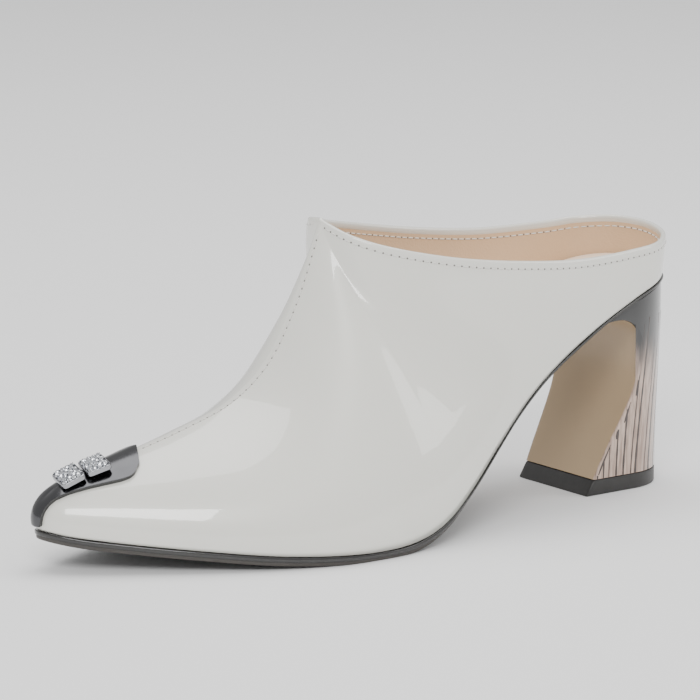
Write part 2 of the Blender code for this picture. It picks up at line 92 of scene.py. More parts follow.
COLUMNS = ("edge_along", "edge_lat", "edge_med", "top_along", "top_lat", "top_med", "high_lat",
           "high_med", "swell_lat", "swell_med", "rise", "reach", "crest", "lead", "wrap")
SECTIONS = (
    (0.0, 10.5, 10.5, 2.9, 9.8, 9.8, 25.0, 25.0, 14, 14, 0.62, 0.55, 0.05, -3.9, 0.0),
    (0.7, 4.0, 15.6, 4.0, 9.6, 9.6, 26.2, 26.2, 14, 14, 0.60, 0.55, 0.05, -4.3, 0.0),
    (2.7, -2.5, 18.2, 6.7, 9.2, 9.2, 28.7, 28.7, 13, 13, 0.56, 0.52, 0.08, -5.0, 0.0),
    (8.5, -14.5, 25.7, 12.9, 7.8, 7.8, 33.0, 33.0, 12, 12, 0.50, 0.50, 0.12, -5.3, 0.0),
    (16.5, -30.0, 35.2, 21.2, 6.0, 6.0, 38.7, 38.7, 12, 12, 0.46, 0.50, 0.16, -5.6, 0.0),
    (25.0, -43.8, 42.0, 28.8, 4.6, 4.6, 45.5, 45.5, 12, 12, 0.44, 0.50, 0.18, -4.6, 0.0),
    (33.0, -52.2, 44.4, 34.6, 3.6, 3.6, 56.9, 56.9, 11, 11, 0.42, 0.50, 0.20, -3.4, 0.0),
    (40.0, -54.3, 42.0, 38.8, 3.0, 3.0, 74.0, 74.0, 9, 10, 0.40, 0.48, 0.22, -2.8, 0.0),
    (46.0, -53.3, 37.0, 41.4, 2.5, 2.5, 89.5, 89.5, 7, 9, 0.38, 0.46, 0.26, -3.0, 0.1),
    (51.0, -51.2, 32.7, 42.8, 2.2, 2.2, 99.3, 99.3, 5, 8, 0.36, 0.42, 0.30, -3.4, 0.3),
    (56.0, -47.0, 29.4, 44.4, -12.0, 16.6, 95.1, 97.8, 3, 7, 0.36, 0.38, 0.30, -2.5, 0.7),
    (62.0, -41.7, 27.2, 49.0, -23.0, 26.0, 91.0, 95.0, 2, 6, 0.36, 0.36, 0.20, -1.0, 1.0),
    (68.5, -37.0, 27.2, 57.5, -32.0, 33.0, 86.7, 91.0, 2, 6, 0.36, 0.34, 0.14, 0.0, 1.0),
    (75.0, -34.0, 28.4, 67.5, -35.6, 36.0, 83.6, 87.0, 4, 7, 0.36, 0.34, 0.10, 0.0, 1.0),
    (82.0, -32.5, 30.2, 78.3, -35.2, 35.4, 81.5, 84.3, 6, 7, 0.36, 0.34, 0.04, 0.0, 1.0),
    (89.0, -31.1, 30.9, 89.0, -32.4, 32.4, 82.0, 84.3, 7, 7, 0.36, 0.34, 0.00, 0.0, 1.0),
    (94.2, -26.8, 26.8, 94.4, -28.0, 28.0, 82.8, 85.3, 6, 6, 0.36, 0.34, 0.00, 0.0, 1.0),
    (98.0, -15.6, 15.6, 98.4, -16.2, 16.2, 84.3, 86.0, 6, 6, 0.36, 0.34, 0.00, 0.0, 1.0),
    (99.3, 0.0, 0.0, 99.8, 0.0, 0.0, 85.6, 85.6, 6, 6, 0.36, 0.34, 0.00, 0.0, 1.0),
)

SEAT_LINE = (
    (0.0, 18.4), (2.7, 16.3), (8.5, 13.2), (16.5, 9.7), (25.0, 6.4), (33.0, 4.6), (40.0, 3.9),
    (43.0, 4.2), (46.0, 5.5), (48.6, 7.9), (51.0, 11.2), (53.4, 15.8), (56.0, 21.5), (59.0, 29.2),
    (62.0, 37.8), (65.2, 47.0), (68.5, 55.5), (71.7, 63.0), (75.0, 69.6), (78.5, 76.0), (82.0, 82.3),
    (85.6, 88.0), (89.0, 92.6), (92.5, 96.2), (96.0, 98.7), (100.0, 100.0),
)

# The heel's front face, seen from the side: distance from the toe, height
BREAST = (
    (202.2, 5.6), (204.2, 10.0), (207.8, 17.0), (211.8, 24.5), (215.0, 31.0), (217.2, 37.5),
    (218.3, 44.0), (218.0, 50.0), (216.5, 54.8), (213.6, 58.3), (209.6, 60.2), (205.0, 60.5),
)

# Height, half width of the heel
HEEL_SIDE = ((0.0, 18.2), (5.6, 18.3), (20.0, 19.4), (35.0, 21.2), (50.0, 23.2), (62.0, 24.7), (75.0, 25.2))

# Where the toe plate's edge crosses the wall: section row, share of the wall
PLATE_EDGE = (
    (0.0, 0.06), (0.42, 0.07), (0.55, 0.32), (0.74, 0.46), (1.04, 0.55), (1.7, 0.595), (2.3, 0.615),
    (2.9, 0.615), (3.08, 0.635), (3.17, 0.69), (3.22, 0.78),
)

# Middles of the stone blocks: distance from the toe, side
BLOCKS = {"stone_block_front": (10.9, 6.6), "stone_block_rear": (18.8, 4.6)}

# Dark lines in the heel's side finish: turn about the heel's upright axis in degrees from the
# front, width in millimetres at the lift, height where it fades
HEEL_AXIS = 216.0
HEEL_LINES = (
    (56.0, 0.9, 20.0), (62.0, 0.7, 24.0), (68.0, 0.5, 26.0), (77.0, 0.9, 37.0), (86.5, 1.0, 44.0),
    (97.0, 0.6, 58.0), (103.0, 1.1, 60.0), (116.0, 0.5, 52.0), (123.0, 1.2, 60.0), (136.0, 1.3, 60.0),
    (147.0, 0.6, 54.0), (155.0, 0.9, 60.0), (166.0, 0.5, 50.0), (173.0, 1.2, 60.0),
)
# Slanting ticks at the heel's front edge: height of the low end, height of the high end
HEEL_TICKS = ((7.0, 17.0), (18.6, 21.4), (24.0, 31.0), (33.0, 38.5))


# The shoe's form
def cubic(x, y, t, closed=False):
    """Smooth curve through the rows y at x, read at t."""
    x, y = np.asarray(x, float), np.asarray(y, float)
    h = np.diff(x)
    d = np.diff(y, axis=0) / h[:, None]
    m = np.zeros_like(y)
    m[1:-1] = (d[:-1] * h[1:, None] + d[1:] * h[:-1, None]) / (h[:-1] + h[1:])[:, None]
    if closed:
        m[0] = m[-1] = (d[-1] * h[0] + d[0] * h[-1]) / (h[0] + h[-1])
    else:
        m[0] = 1.5 * d[0] - 0.5 * m[1]
        m[-1] = 1.5 * d[-1] - 0.5 * m[-2]
    t = np.atleast_1d(np.clip(t, x[0], x[-1]))
    k = np.clip(np.searchsorted(x, t, side="right") - 1, 0, len(x) - 2)
    u = ((t - x[k]) / h[k])[:, None]
    w = h[k][:, None]
    return (y[k] * (1 + 2 * u) * (1 - u) ** 2 + m[k] * w * u * (1 - u) ** 2
            + y[k + 1] * u * u * (3 - 2 * u) + m[k + 1] * w * u * u * (u - 1))


def line_at(rows, x):
    """Second column of a two-column table, read smoothly at x."""
    rows = np.array(rows, float)
    return cubic(rows[:, 0], rows[:, 1:], np.ravel(x))[:, 0].reshape(np.shape(x))


def seat_line(s):
    """Height of the upper's lower edge at the distance s from the toe."""
    rows = np.array(SEAT_LINE) * (LENGTH / 100, SEAT_HEIGHT / 100)
    return line_at(rows, s)


def sole_edge(s):
    """Thickness of the sole at the distance s from the toe."""
    share = np.clip((np.asarray(s, float) / LENGTH - 0.44) / 0.14, 0, 1)
    share = share * share * (3 - 2 * share)
    return SOLE_EDGE + (SHANK_EDGE - SOLE_EDGE) * share


def sole_under(s):
    """Height of the sole's lower face, flat on the floor under the ball."""
    return np.maximum(seat_line(s) - FIT_GAP - sole_edge(s), 0.0)


class Last:
    """The foot's outer form as loops of control points round the shoe."""

    def __init__(self):
        r = {name: np.array([row[i] for row in SECTIONS], float) for i, name in enumerate(COLUMNS)}
        self.rows = len(SECTIONS) - 1
        along, across, high = LENGTH / 100, BALL_WIDTH / 100, INSTEP_HEIGHT / 100
        s = r["edge_along"] * along
        edge, top = {}, {}
        for side, tag in ((-1, "lat"), (1, "med")):
            edge[side] = np.stack([s, r["edge_" + tag] * across, seat_line(s)], 1)
            top[side] = np.stack([r["top_along"] * along, r["top_" + tag] * across,
                                  r["high_" + tag] * high], 1)
        self.top = top
        self.turn = np.arange(2 * self.rows + 1)
        self.ring = self.loop(edge)
        out = self.outward(self.turn)
        ridge = top[-1][:THROAT_ROW + 1]
        slope = np.gradient(ridge[:, 2], ridge[:, 0])
        slope[0] = 0.9
        slope = np.interp(np.arange(self.rows + 1), np.arange(THROAT_ROW + 1), slope)
        low, up = {}, {}
        for side, tag in ((-1, "lat"), (1, "med")):
            index = self.turn[:self.rows + 1] if side < 0 else (2 * self.rows - self.turn[:self.rows + 1])
            n = out[index]
            e, t = edge[side], top[side]
            tall = t[:, 2] - e[:, 2]
            bend = tall * r["rise"]
            lean = np.tan(np.radians(r["swell_" + tag])) * bend
            low[side] = e + np.stack([n[:, 0] * lean, n[:, 1] * lean, bend], 1)
            dy = (e[:, 1] - t[:, 1]) * r["reach"]
            over = np.stack([r["lead"], dy, r["lead"] * slope - np.abs(dy) * r["crest"]], 1)
            down = np.stack([n[:, 0] * r["crest"], n[:, 1] * r["crest"], -np.ones(len(tall))], 1)
            down *= (tall * r["reach"])[:, None]
            wrap = r["wrap"][:, None]
            up[side] = t + over * (1 - wrap) + down * wrap
        self.low, self.up = self.loop(low), self.loop(up)

    def loop(self, sides):
        """Lateral rows from toe to heel, then medial rows back to the toe, as one ring."""
        return np.concatenate([sides[-1], sides[1][-2:0:-1], sides[-1][:1]])

    def turn_of(self, side, row):
        return row if side < 0 else (2 * self.rows - row) % (2 * self.rows)

    def outward(self, turn):
        """Outward direction in plan of the sole's edge at turns of the ring."""
        full = 2 * self.rows
        step = 0.02
        tangent = (cubic(self.turn, self.ring, (turn + step) % full, closed=True)
                   - cubic(self.turn, self.ring, (turn - step) % full, closed=True))[:, :2]
        tangent /= np.linalg.norm(tangent, axis=1)[:, None]
        return np.stack([tangent[:, 1], -tangent[:, 0]], 1)

    def crown(self, side, row):
        """The ridge in front of the throat, the collar behind it."""
        mine, k = self.top[side], THROAT_ROW
        front = cubic(np.arange(-1, k + 1), np.concatenate([mine[1:2], mine[:k + 1]]), np.minimum(row, k))
        rest = np.concatenate([mine[k:], self.top[-side][-2:-3:-1]])
        back = cubic(np.arange(k, self.rows + 2), rest, np.maximum(row, k))
        return np.where((row <= k)[:, None], front, back)

    def wall(self, side, row, share):
        """Point of the outer face at a section row and a share of the wall."""
        row = np.atleast_1d(np.asarray(row, float))
        turn = self.turn_of(side, row)
        a, b, c = (cubic(self.turn, ring, turn, closed=True) for ring in (self.ring, self.low, self.up))
        v = np.broadcast_to(np.asarray(share, float), row.shape)[:, None]
        return (a * (1 - v) ** 3 + 3 * b * v * (1 - v) ** 2 + 3 * c * v * v * (1 - v)
                + self.crown(side, row) * v ** 3)

    def out(self, side, row, share):
        """Outward normal of the outer face."""
        row = np.atleast_1d(np.asarray(row, float))
        share = np.broadcast_to(np.asarray(share, float), row.shape)
        d = 0.01
        a = self.wall(side, np.minimum(row + d, self.rows), share)
        a -= self.wall(side, np.maximum(row - d, 0), share)
        b = self.wall(side, row, np.minimum(share + d, 1))
        b -= self.wall(side, row, np.maximum(share - d, 0))
        n = np.cross(a, b) * (1 if side < 0 else -1)
        return n / np.maximum(np.linalg.norm(n, axis=1), 1e-9)[:, None]

    def edge(self, side, row, outset=0.0):
        """Plan point of the sole's edge, moved outward by outset."""
        row = np.atleast_1d(np.asarray(row, float))
        turn = self.turn_of(side, row)
        return cubic(self.turn, self.ring, turn, closed=True)[:, :2] + self.outward(turn) * outset


LAST = Last()

# The solids are centred on their plan, so the shoe's own measures shift by the same amount
lift_low, lift_high = (np.array(corner) * 1000 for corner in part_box("top_piece"))
SHIFT = np.array((lift_high[0] - (HEEL_BACK + 0.2), (lift_low[1] + lift_high[1]) / 2, 0.0))


# Meshes
def make_object(name, points, faces, materials, slots=None, smooth=True, crease=None):
    """An object from points in millimetres; slots gives each face its material."""
    mesh = bpy.data.meshes.new(name)
    points = (np.asarray(points, float) + SHIFT) * MM
    mesh.from_pydata([tuple(p) for p in points], [], [tuple(int(c) for c in face) for face in faces])
    for made in materials:
        mesh.materials.append(made)
    if slots is not None:
        mesh.polygons.foreach_set("material_index", slots)
    work = bmesh.new()
    work.from_mesh(mesh)
    bmesh.ops.remove_doubles(work, verts=work.verts, dist=0.000002)
    bmesh.ops.recalc_face_normals(work, faces=work.faces)
    work.to_mesh(mesh)
    work.free()
    mesh.polygons.foreach_set("use_smooth", [smooth] * len(mesh.polygons))
    if crease is not None:
        mesh.set_sharp_from_angle(angle=radians(crease))
    mesh.update()
    made = bpy.data.objects.new(name, mesh)
    bpy.context.scene.collection.objects.link(made)
    return made


def settle(made, slot, *nodes):
    """The piece rides on the shoe and stands for nodes; slot is not used."""
    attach(made, "root")
    if nodes:
        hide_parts(*nodes)
    return made


def apply_modifiers(made):
    """Bake the object's modifiers into its mesh."""
    graph = bpy.context.evaluated_depsgraph_get()
    mesh = bpy.data.meshes.new_from_object(made.evaluated_get(graph))
    made.modifiers.clear()
    made.data = mesh


class Sheet:
    """Grid on the upper's outer face, both sides joined along the ridge."""

    def __init__(self, rows, shares):
        """rows are section rows; shares holds an array of wall shares for each line along the shoe."""
        self.rows = rows
        self.count = len(shares)
        self.index = {}
        points, self.side, self.where = [], [], []
        whole = rows[-1] == LAST.rows
        for side in (-1, 1):
            for j, share in enumerate(shares):
                here = LAST.wall(side, rows, share)
                for i, p in enumerate(here):
                    top = j == len(shares) - 1 and rows[i] <= THROAT_ROW + 1e-9
                    if side == 1 and (i == 0 or (whole and i == len(rows) - 1) or top):
                        self.index[side, i, j] = self.index[-1, i, j]
                    else:
                        self.index[side, i, j] = len(points)
                        points.append(p)
        self.points = np.array(points)
        self.faces = []
        for side in (-1, 1):
            for i in range(len(rows) - 1):
                for j in range(len(shares) - 1):
                    ring = [self.index[side, i, j], self.index[side, i + 1, j],
                            self.index[side, i + 1, j + 1], self.index[side, i, j + 1]]
                    if side > 0:
                        ring.reverse()
                    self.faces.append(tuple(ring))
        self.normal = mesh_normals(self.points, self.faces)


def mesh_normals(points, faces):
    """Average normal at each point, from quads."""
    quads = np.array(faces)
    a, b, c, d = (points[quads[:, k]] for k in range(4))
    n = np.cross(c - a, d - b)
    total = np.zeros_like(points)
    for k in range(4):
        np.add.at(total, quads[:, k], n)
    return total / np.maximum(np.linalg.norm(total, axis=1), 1e-9)[:, None]


def edge_loops(faces):
    """Directed border edges of a set of faces."""
    edges = set()
    for face in faces:
        for a, b in zip(face, face[1:] + face[:1]):
            edges.add((a, b))
    return [(a, b) for a, b in edges if (b, a) not in edges]


def tube(path, normals, radius, sides=6):
    """Closed tube along a path; the ends are pinched. Returns points and faces."""
    path = np.asarray(path, float)
    t = np.gradient(path, axis=0)
    t /= np.linalg.norm(t, axis=1)[:, None]
    b = np.cross(t, normals)
    b /= np.maximum(np.linalg.norm(b, axis=1), 1e-9)[:, None]
    n = np.cross(b, t)
    r = np.broadcast_to(np.asarray(radius, float), (len(path),))
    points, faces = [], []
    for i in range(len(path)):
        for k in range(sides):
            a = 2 * pi * k / sides
            points.append(path[i] + (n[i] * cos(a) + b[i] * sin(a)) * r[i])
    for i in range(len(path) - 1):
        for k in range(sides):
            p, q = i * sides + k, i * sides + (k + 1) % sides
            faces.append((p, q, q + sides, p + sides))
    faces.append(tuple(range(sides - 1, -1, -1)))
    faces.append(tuple(range((len(path) - 1) * sides, len(path) * sides)))
    return points, faces


class Pile:
    """Gathers many small forms into one mesh."""

    def __init__(self):
        self.points, self.faces, self.slots = [], [], []

    def add(self, points, faces, slot=0):
        base = len(self.points)
        self.points += [np.asarray(p, float) for p in points]
        self.faces += [tuple(c + base for c in face) for face in faces]
        self.slots += [slot] * len(faces)


def plank(columns, cuts, levels, crown=None):
    """Plate that follows the sole's plan: levels are (outset, height function) from top to bottom."""
    rows = np.linspace(0, LAST.rows, cuts + 1)
    points, index = [], {}
    for k, (outset, height) in enumerate(levels):
        lat, med = LAST.edge(-1, rows, outset), LAST.edge(1, rows, outset)
        inner = k in (0, len(levels) - 1)
        for i in range(cuts + 1):
            pointed = i in (0, cuts)
            for c in range(columns + 1):
                if not inner and 0 < c < columns:
                    continue
                if pointed and c:
                    index[k, i, c] = index[k, i, 0]
                    continue
                share = c / columns
                xy = lat[i] if pointed else lat[i] + (med[i] - lat[i]) * share
                z = float(height(xy[0]))
                if crown is not None and k == 0 and not pointed:
                    z += crown(xy[0], share)
                index[k, i, c] = len(points)
                points.append((xy[0], xy[1], z))
    faces, band = [], []

    def put(ring, flip, level):
        ring = list(dict.fromkeys(ring))
        if len(ring) > 2:
            faces.append(tuple(reversed(ring)) if flip else tuple(ring))
            band.append(level)

    last = len(levels) - 1
    for i in range(cuts):
        for c in range(columns):
            for k, flip in ((0, False), (last, True)):
                put([index[k, i, c], index[k, i + 1, c], index[k, i + 1, c + 1], index[k, i, c + 1]], flip, k)
        for k in range(last):
            for c, flip in ((0, True), (columns, False)):
                put([index[k, i, c], index[k, i + 1, c], index[k + 1, i + 1, c], index[k + 1, i, c]], flip, k)
    return np.array(points), faces, band


# Colours and nodes
def linear(code):
    """sRGB hex colour as linear red, green, blue."""
    parts = [int(code[i:i + 2], 16) / 255 for i in (1, 3, 5)]
    return tuple(p / 12.92 if p <= 0.04045 else ((p + 0.055) / 1.055) ** 2.4 for p in parts)


def add_node(tree, kind, sockets=(), **settings):
    """Add one node with its settings; sockets gives values or links for its inputs."""
    made = tree.nodes.new("ShaderNode" + kind)
    for name, value in settings.items():
        setattr(made, name, value)
    for key, value in dict(sockets).items():
        if isinstance(value, bpy.types.NodeSocket):
            tree.links.new(value, made.inputs[key])
        else:
            made.inputs[key].default_value = value
    return made


def new_material(name, **shader):
    """A material with its Principled node; shader gives values that are the same all over."""
    made = bpy.data.materials.new(name)
    made.use_nodes = True
    tree = made.node_tree
    surface = tree.nodes["Principled BSDF"]
    for key, value in shader.items():
        surface.inputs[key.replace("_", " ")].default_value = value
    return made, tree, surface


def mottle(tree, surface, place, dark, light, size_mm, detail=3.0):
    """Base colour that drifts between two shades in patches of size_mm."""
    noise = add_node(tree, "TexNoise", {"Vector": place, "Scale": 1000 / size_mm, "Detail": detail})
    mix = add_node(tree, "Mix", data_type="RGBA")
    mix.inputs[6].default_value = (*dark, 1)
    mix.inputs[7].default_value = (*light, 1)
    tree.links.new(noise.outputs["Fac"], mix.inputs[0])
    tree.links.new(mix.outputs[2], surface.inputs["Base Color"])


def patent_leather(colours):
    """Coated patent leather, calendered and lacquered: a soft white body under a mirror-smooth coat
    whose faint orange peel bends the reflections."""
    made, tree, surface = new_material("white_patent_leather", Roughness=0.32, IOR=1.5, Coat_Weight=1.0,
                                       Coat_Roughness=0.03, Coat_IOR=1.55)
    place = add_node(tree, "TexCoord").outputs["Object"]
    body = tuple(colours.patent)
    shade = tuple(c * f for c, f in zip(body, (0.955, 0.955, 0.945)))
    mottle(tree, surface, place, shade, body, 38.0)
    peel = add_node(tree, "TexNoise", {"Vector": place, "Scale": 1000 / 2.4, "Detail": 2.0})
    swell = add_node(tree, "TexNoise", {"Vector": place, "Scale": 1000 / 16.0, "Detail": 1.0})
    fine = add_node(tree, "Bump", {"Height": peel.outputs["Fac"], "Strength": 0.05, "Distance": 0.0001})
    soft = add_node(tree, "Bump", {"Height": swell.outputs["Fac"], "Strength": 0.12, "Distance": 0.0006,
                                             "Normal": fine.outputs["Normal"]})
    tree.links.new(soft.outputs["Normal"], surface.inputs["Coat Normal"])
    tree.links.new(soft.outputs["Normal"], surface.inputs["Normal"])
    return made


def grain_leather(name, low, high, pore_mm, roughness, depth_mm):
    """Smooth finished leather, rolled and waxed: fine pores that catch the light and a slow drift of
    colour from hide to hide."""
    made, tree, surface = new_material(name, IOR=1.48, Sheen_Weight=0.12, Sheen_Roughness=0.5)
    place = add_node(tree, "TexCoord").outputs["Object"]
    mottle(tree, surface, place, low, high, 22.0)
    pores = add_node(tree, "TexVoronoi", {"Vector": place, "Scale": 1000 / pore_mm})
    folds = add_node(tree, "TexNoise", {"Vector": place, "Scale": 1000 / (pore_mm * 6), "Detail": 4.0})
    height = add_node(tree, "Math", {0: pores.outputs["Distance"], 1: folds.outputs["Fac"]}, operation="ADD")
    bump = add_node(tree, "Bump", {"Height": height.outputs[0], "Strength": 0.5, "Distance": depth_mm * MM})
    tree.links.new(bump.outputs["Normal"], surface.inputs["Normal"])
    rough = add_node(tree, "MapRange", {"Value": pores.outputs["Distance"], "To Min": roughness - 0.06,
                                                  "To Max": roughness + 0.08})
    tree.links.new(rough.outputs["Result"], surface.inputs["Roughness"])
    return made


def moulded_rubber(name, colour, roughness, coat=0.0):
    """Moulded thermoplastic rubber, trimmed and inked: near black, with a fine rub of lighter dust."""
    made, tree, surface = new_material(name, IOR=1.52, Coat_Weight=coat, Coat_Roughness=0.12)
    place = add_node(tree, "TexCoord").outputs["Object"]
    light = tuple(min(1.0, c * 1.7 + 0.004) for c in colour)
    mottle(tree, surface, place, colour, light, 3.5, 5.0)
    rub = add_node(tree, "TexNoise", {"Vector": place, "Scale": 1000 / 0.9, "Detail": 3.0})
    rough = add_node(tree, "MapRange", {"Value": rub.outputs["Fac"], "To Min": roughness - 0.08,
                                                  "To Max": roughness + 0.1})
    tree.links.new(rough.outputs["Result"], surface.inputs["Roughness"])
    bump = add_node(tree, "Bump", {"Height": rub.outputs["Fac"], "Strength": 0.3, "Distance": 0.00008})
    tree.links.new(bump.outputs["Normal"], surface.inputs["Normal"])
    return made


def lacquered_heel():
    """Moulded ABS heel under a printed film and clear lacquer: black at the seat, running in streaks
    to a pinkish beige with fine upright grain."""
    made, tree, surface = new_material("lacquered_abs_heel", Roughness=0.28, IOR=1.5, Coat_Weight=1.0,
                                       Coat_Roughness=0.05)
    place = add_node(tree, "TexCoord").outputs["Object"]
    stretched = add_node(tree, "Mapping", {"Vector": place, "Scale": (1.0, 1.0, 0.03)})
    grain = add_node(tree, "TexNoise", {"Vector": stretched.outputs[0], "Scale": 1000 / 3.2, "Detail": 6.0,
                                                  "Roughness": 0.6})
    fine = add_node(tree, "TexNoise", {"Vector": stretched.outputs[0], "Scale": 1000 / 0.9, "Detail": 3.0})
    apart = add_node(tree, "SeparateXYZ", {"Vector": place})
    wave = add_node(tree, "Math", {0: grain.outputs["Fac"], 1: 0.022, 2: -0.011}, operation="MULTIPLY_ADD")
    level = add_node(tree, "Math", {0: apart.outputs["Z"], 1: wave.outputs[0]}, operation="ADD")
    fade = add_node(tree, "MapRange", {"Value": level.outputs[0], "From Min": 0.036, "From Max": 0.056},
                    interpolation_type="SMOOTHSTEP")
    streak = add_node(tree, "MapRange", {"Value": fine.outputs["Fac"], "From Min": 0.35, "From Max": 0.7})
    beige = add_node(tree, "Mix", data_type="RGBA")
    beige.inputs[6].default_value = (*linear("#C8AF9F"), 1)
    beige.inputs[7].default_value = (*linear("#93796A"), 1)
    tree.links.new(streak.outputs["Result"], beige.inputs[0])
    both = add_node(tree, "Mix", data_type="RGBA")
    tree.links.new(beige.outputs[2], both.inputs[6])
    both.inputs[7].default_value = (*linear("#101010"), 1)
    tree.links.new(fade.outputs["Result"], both.inputs[0])
    tree.links.new(both.outputs[2], surface.inputs["Base Color"])
    return made


def heel_ink():
    """Dark brown ink of the printed film, under the same lacquer as the heel."""
    made, tree, surface = new_material("heel_line_ink", Roughness=0.3, IOR=1.5, Coat_Weight=1.0,
                                       Coat_Roughness=0.05)
    place = add_node(tree, "TexCoord").outputs["Object"]
    mottle(tree, surface, place, linear("#1E120B"), linear("#3E281B"), 4.0)
    return made


def breast_cover(colours):
    """Satin film over the heel's scooped front: warm taupe with a faint drawn sheen."""
    made, tree, surface = new_material("taupe_breast_film", Roughness=0.42, IOR=1.5, Coat_Weight=0.25,
                                       Coat_Roughness=0.3)
    place = add_node(tree, "TexCoord").outputs["Object"]
    mottle(tree, surface, place, tuple(c * 0.93 for c in colours.breast), tuple(colours.breast), 9.0)
    drawn = add_node(tree, "TexNoise", {"Vector": place, "Scale": 1000 / 0.7, "Detail": 2.0})
    bump = add_node(tree, "Bump", {"Height": drawn.outputs["Fac"], "Strength": 0.15, "Distance": 0.00005})
    tree.links.new(bump.outputs["Normal"], surface.inputs["Normal"])
    return made


def plated_metal(name, colour, roughness):
    """Polished zinc casting under dark nickel plating: mirror-like, with faint polishing haze."""
    made, tree, surface = new_material(name, Metallic=1.0)
    place = add_node(tree, "TexCoord").outputs["Object"]
    mottle(tree, surface, place, tuple(c * 0.8 for c in colour), colour, 6.0)
    haze = add_node(tree, "TexNoise", {"Vector": place, "Scale": 1000 / 1.5, "Detail": 4.0})
    rough = add_node(tree, "MapRange", {"Value": haze.outputs["Fac"], "To Min": roughness * 0.7,
                                                  "To Max": roughness * 1.4})
    tree.links.new(rough.outputs["Result"], surface.inputs["Roughness"])
    return made


def foiled_crystal():
    """Cut lead crystal with a foil back: each facet flashes light or dark like a small mirror."""
    made, tree, surface = new_material("foiled_crystal", Metallic=1.0, Roughness=0.04, Coat_Weight=1.0,
                                       Coat_Roughness=0.0)
    place = add_node(tree, "TexCoord").outputs["Object"]
    mottle(tree, surface, place, linear("#8C8F94"), linear("#F2F4F8"), 1.4)
    return made


def sewing_thread(colours):
    """Bonded polyester thread, twisted: off-white with a dry sheen and a ridge for each turn."""
    made, tree, surface = new_material("white_polyester_thread", Roughness=0.6, IOR=1.5, Sheen_Weight=0.3)
    place = add_node(tree, "TexCoord").outputs["Object"]
    mottle(tree, surface, place, tuple(c * 0.82 for c in colours.thread), tuple(colours.thread), 0.8)
    twist = add_node(tree, "TexWave", {"Vector": place, "Scale": 1000 / 2.2}, bands_direction="DIAGONAL")
    bump = add_node(tree, "Bump", {"Height": twist.outputs["Fac"], "Strength": 0.4, "Distance": 0.00008})
    tree.links.new(bump.outputs["Normal"], surface.inputs["Normal"])
    return made


def needle_hole():
    """Shadow in a needle hole: a matt warm grey with a soft grain."""
    made, tree, surface = new_material("needle_hole_shadow", Roughness=0.9)
    place = add_node(tree, "TexCoord").outputs["Object"]
    mottle(tree, surface, place, linear("#5E5B57"), linear("#7C7873"), 0.6)
    return made


# Settings that a user would change
class MuleSizes(bpy.types.PropertyGroup):
    lip: FloatProperty(name="Collar lip", description="Radius of the collar's turned edge", default=0.0009,
                       min=0.0004, max=0.0015, unit="LENGTH")
    facing: FloatProperty(name="Facing", description="How far the turned edge reaches down inside",
                          default=0.0022, min=0.0015, max=0.004, unit="LENGTH")
    stitch: FloatProperty(name="Stitch", description="Length of one visible stitch", default=0.0020, min=0.001,
                          max=0.004, unit="LENGTH")
    stitch_gap: FloatProperty(name="Stitch gap", description="Space between two stitches", default=0.0007,
                              min=0.0002, max=0.002, unit="LENGTH")
    thread: FloatProperty(name="Thread", description="Thickness of the sewing thread", default=0.0005,
                          min=0.0002, max=0.001, unit="LENGTH")
    stitch_inset: FloatProperty(name="Stitch inset", description="Distance of the stitch line from the collar",
                                default=0.0019, min=0.001, max=0.004, unit="LENGTH")
    seam_depth: FloatProperty(name="Seam depth", description="Depth of the centre-front seam", default=0.0003,
                              min=0.0, max=0.001, unit="LENGTH")
    stone: FloatProperty(name="Stone", description="Diameter of one stone", default=0.0016, min=0.001,
                         max=0.003, unit="LENGTH")
    row_cuts: IntProperty(name="Row cuts", description="Cuts between two sections of the shoe", default=12,
                          min=3, max=20)


class MuleColours(bpy.types.PropertyGroup):
    patent: FloatVectorProperty(name="Patent", description="Body of the patent leather", subtype="COLOR",
                                size=3, min=0, max=1, default=linear("#E4E3DB"))
    lining: FloatVectorProperty(name="Lining", description="Leather inside the upper", subtype="COLOR",
                                size=3, min=0, max=1, default=linear("#E0BE98"))
    sock: FloatVectorProperty(name="Sock", description="Leather of the insole", subtype="COLOR",
                              size=3, min=0, max=1, default=linear("#F6E0CB"))
    breast: FloatVectorProperty(name="Heel front", description="Film on the heel's scooped front",
                                subtype="COLOR", size=3, min=0, max=1, default=linear("#B69C7A"))
    thread: FloatVectorProperty(name="Thread", description="Sewing thread", subtype="COLOR", size=3,
                                min=0, max=1, default=linear("#ECEAE4"))
    plate: FloatVectorProperty(name="Toe plate", description="Dark plating of the toe plate",
                               subtype="COLOR", size=3, min=0, max=1, default=linear("#5A5A5C"))
    floor: FloatVectorProperty(name="Floor", description="Studio floor", subtype="COLOR", size=3,
                               min=0, max=1, default=linear("#F4F4F4"))


# Pieces
def upper_rows(cuts):
    """Section rows, closer together at the toe tip and at the throat."""
    fine = (0, THROAT_ROW - 1, THROAT_ROW, LAST_ROW - 1)
    near = [np.linspace(k, k + 1, (cuts * 2 if k in fine else cuts) + 1)[:-1] for k in range(LAST_ROW)]
    return np.concatenate(near + [[float(LAST_ROW)]])


def top_shares(rows, distances):
    """Shares that lie at the given distances in millimetres below the top, for each side."""
    shares = []
    v = np.linspace(0.5, 1.0, 41)
    for side in (-1, 1):
        lengths = np.zeros((41, len(rows)))
        previous = LAST.wall(side, rows, v[0])
        for k in range(1, 41):
            here = LAST.wall(side, rows, v[k])
            lengths[k] = lengths[k - 1] + np.linalg.norm(here - previous, axis=1)
            previous = here
        from_top = lengths[-1] - lengths
        shares.append([np.array([np.interp(-d, -from_top[:, i], v) for i in range(len(rows))])
                       for d in distances])
    return [(a + b) / 2 for a, b in zip(*shares)]


def upper_sheet(cuts):
    rows = upper_rows(cuts)
    near_top = top_shares(rows, (2.8, 1.6, 1.0, 0.0))
    low = [near_top[0] * k / 34 for k in range(34)]
    return Sheet(rows, low + near_top)


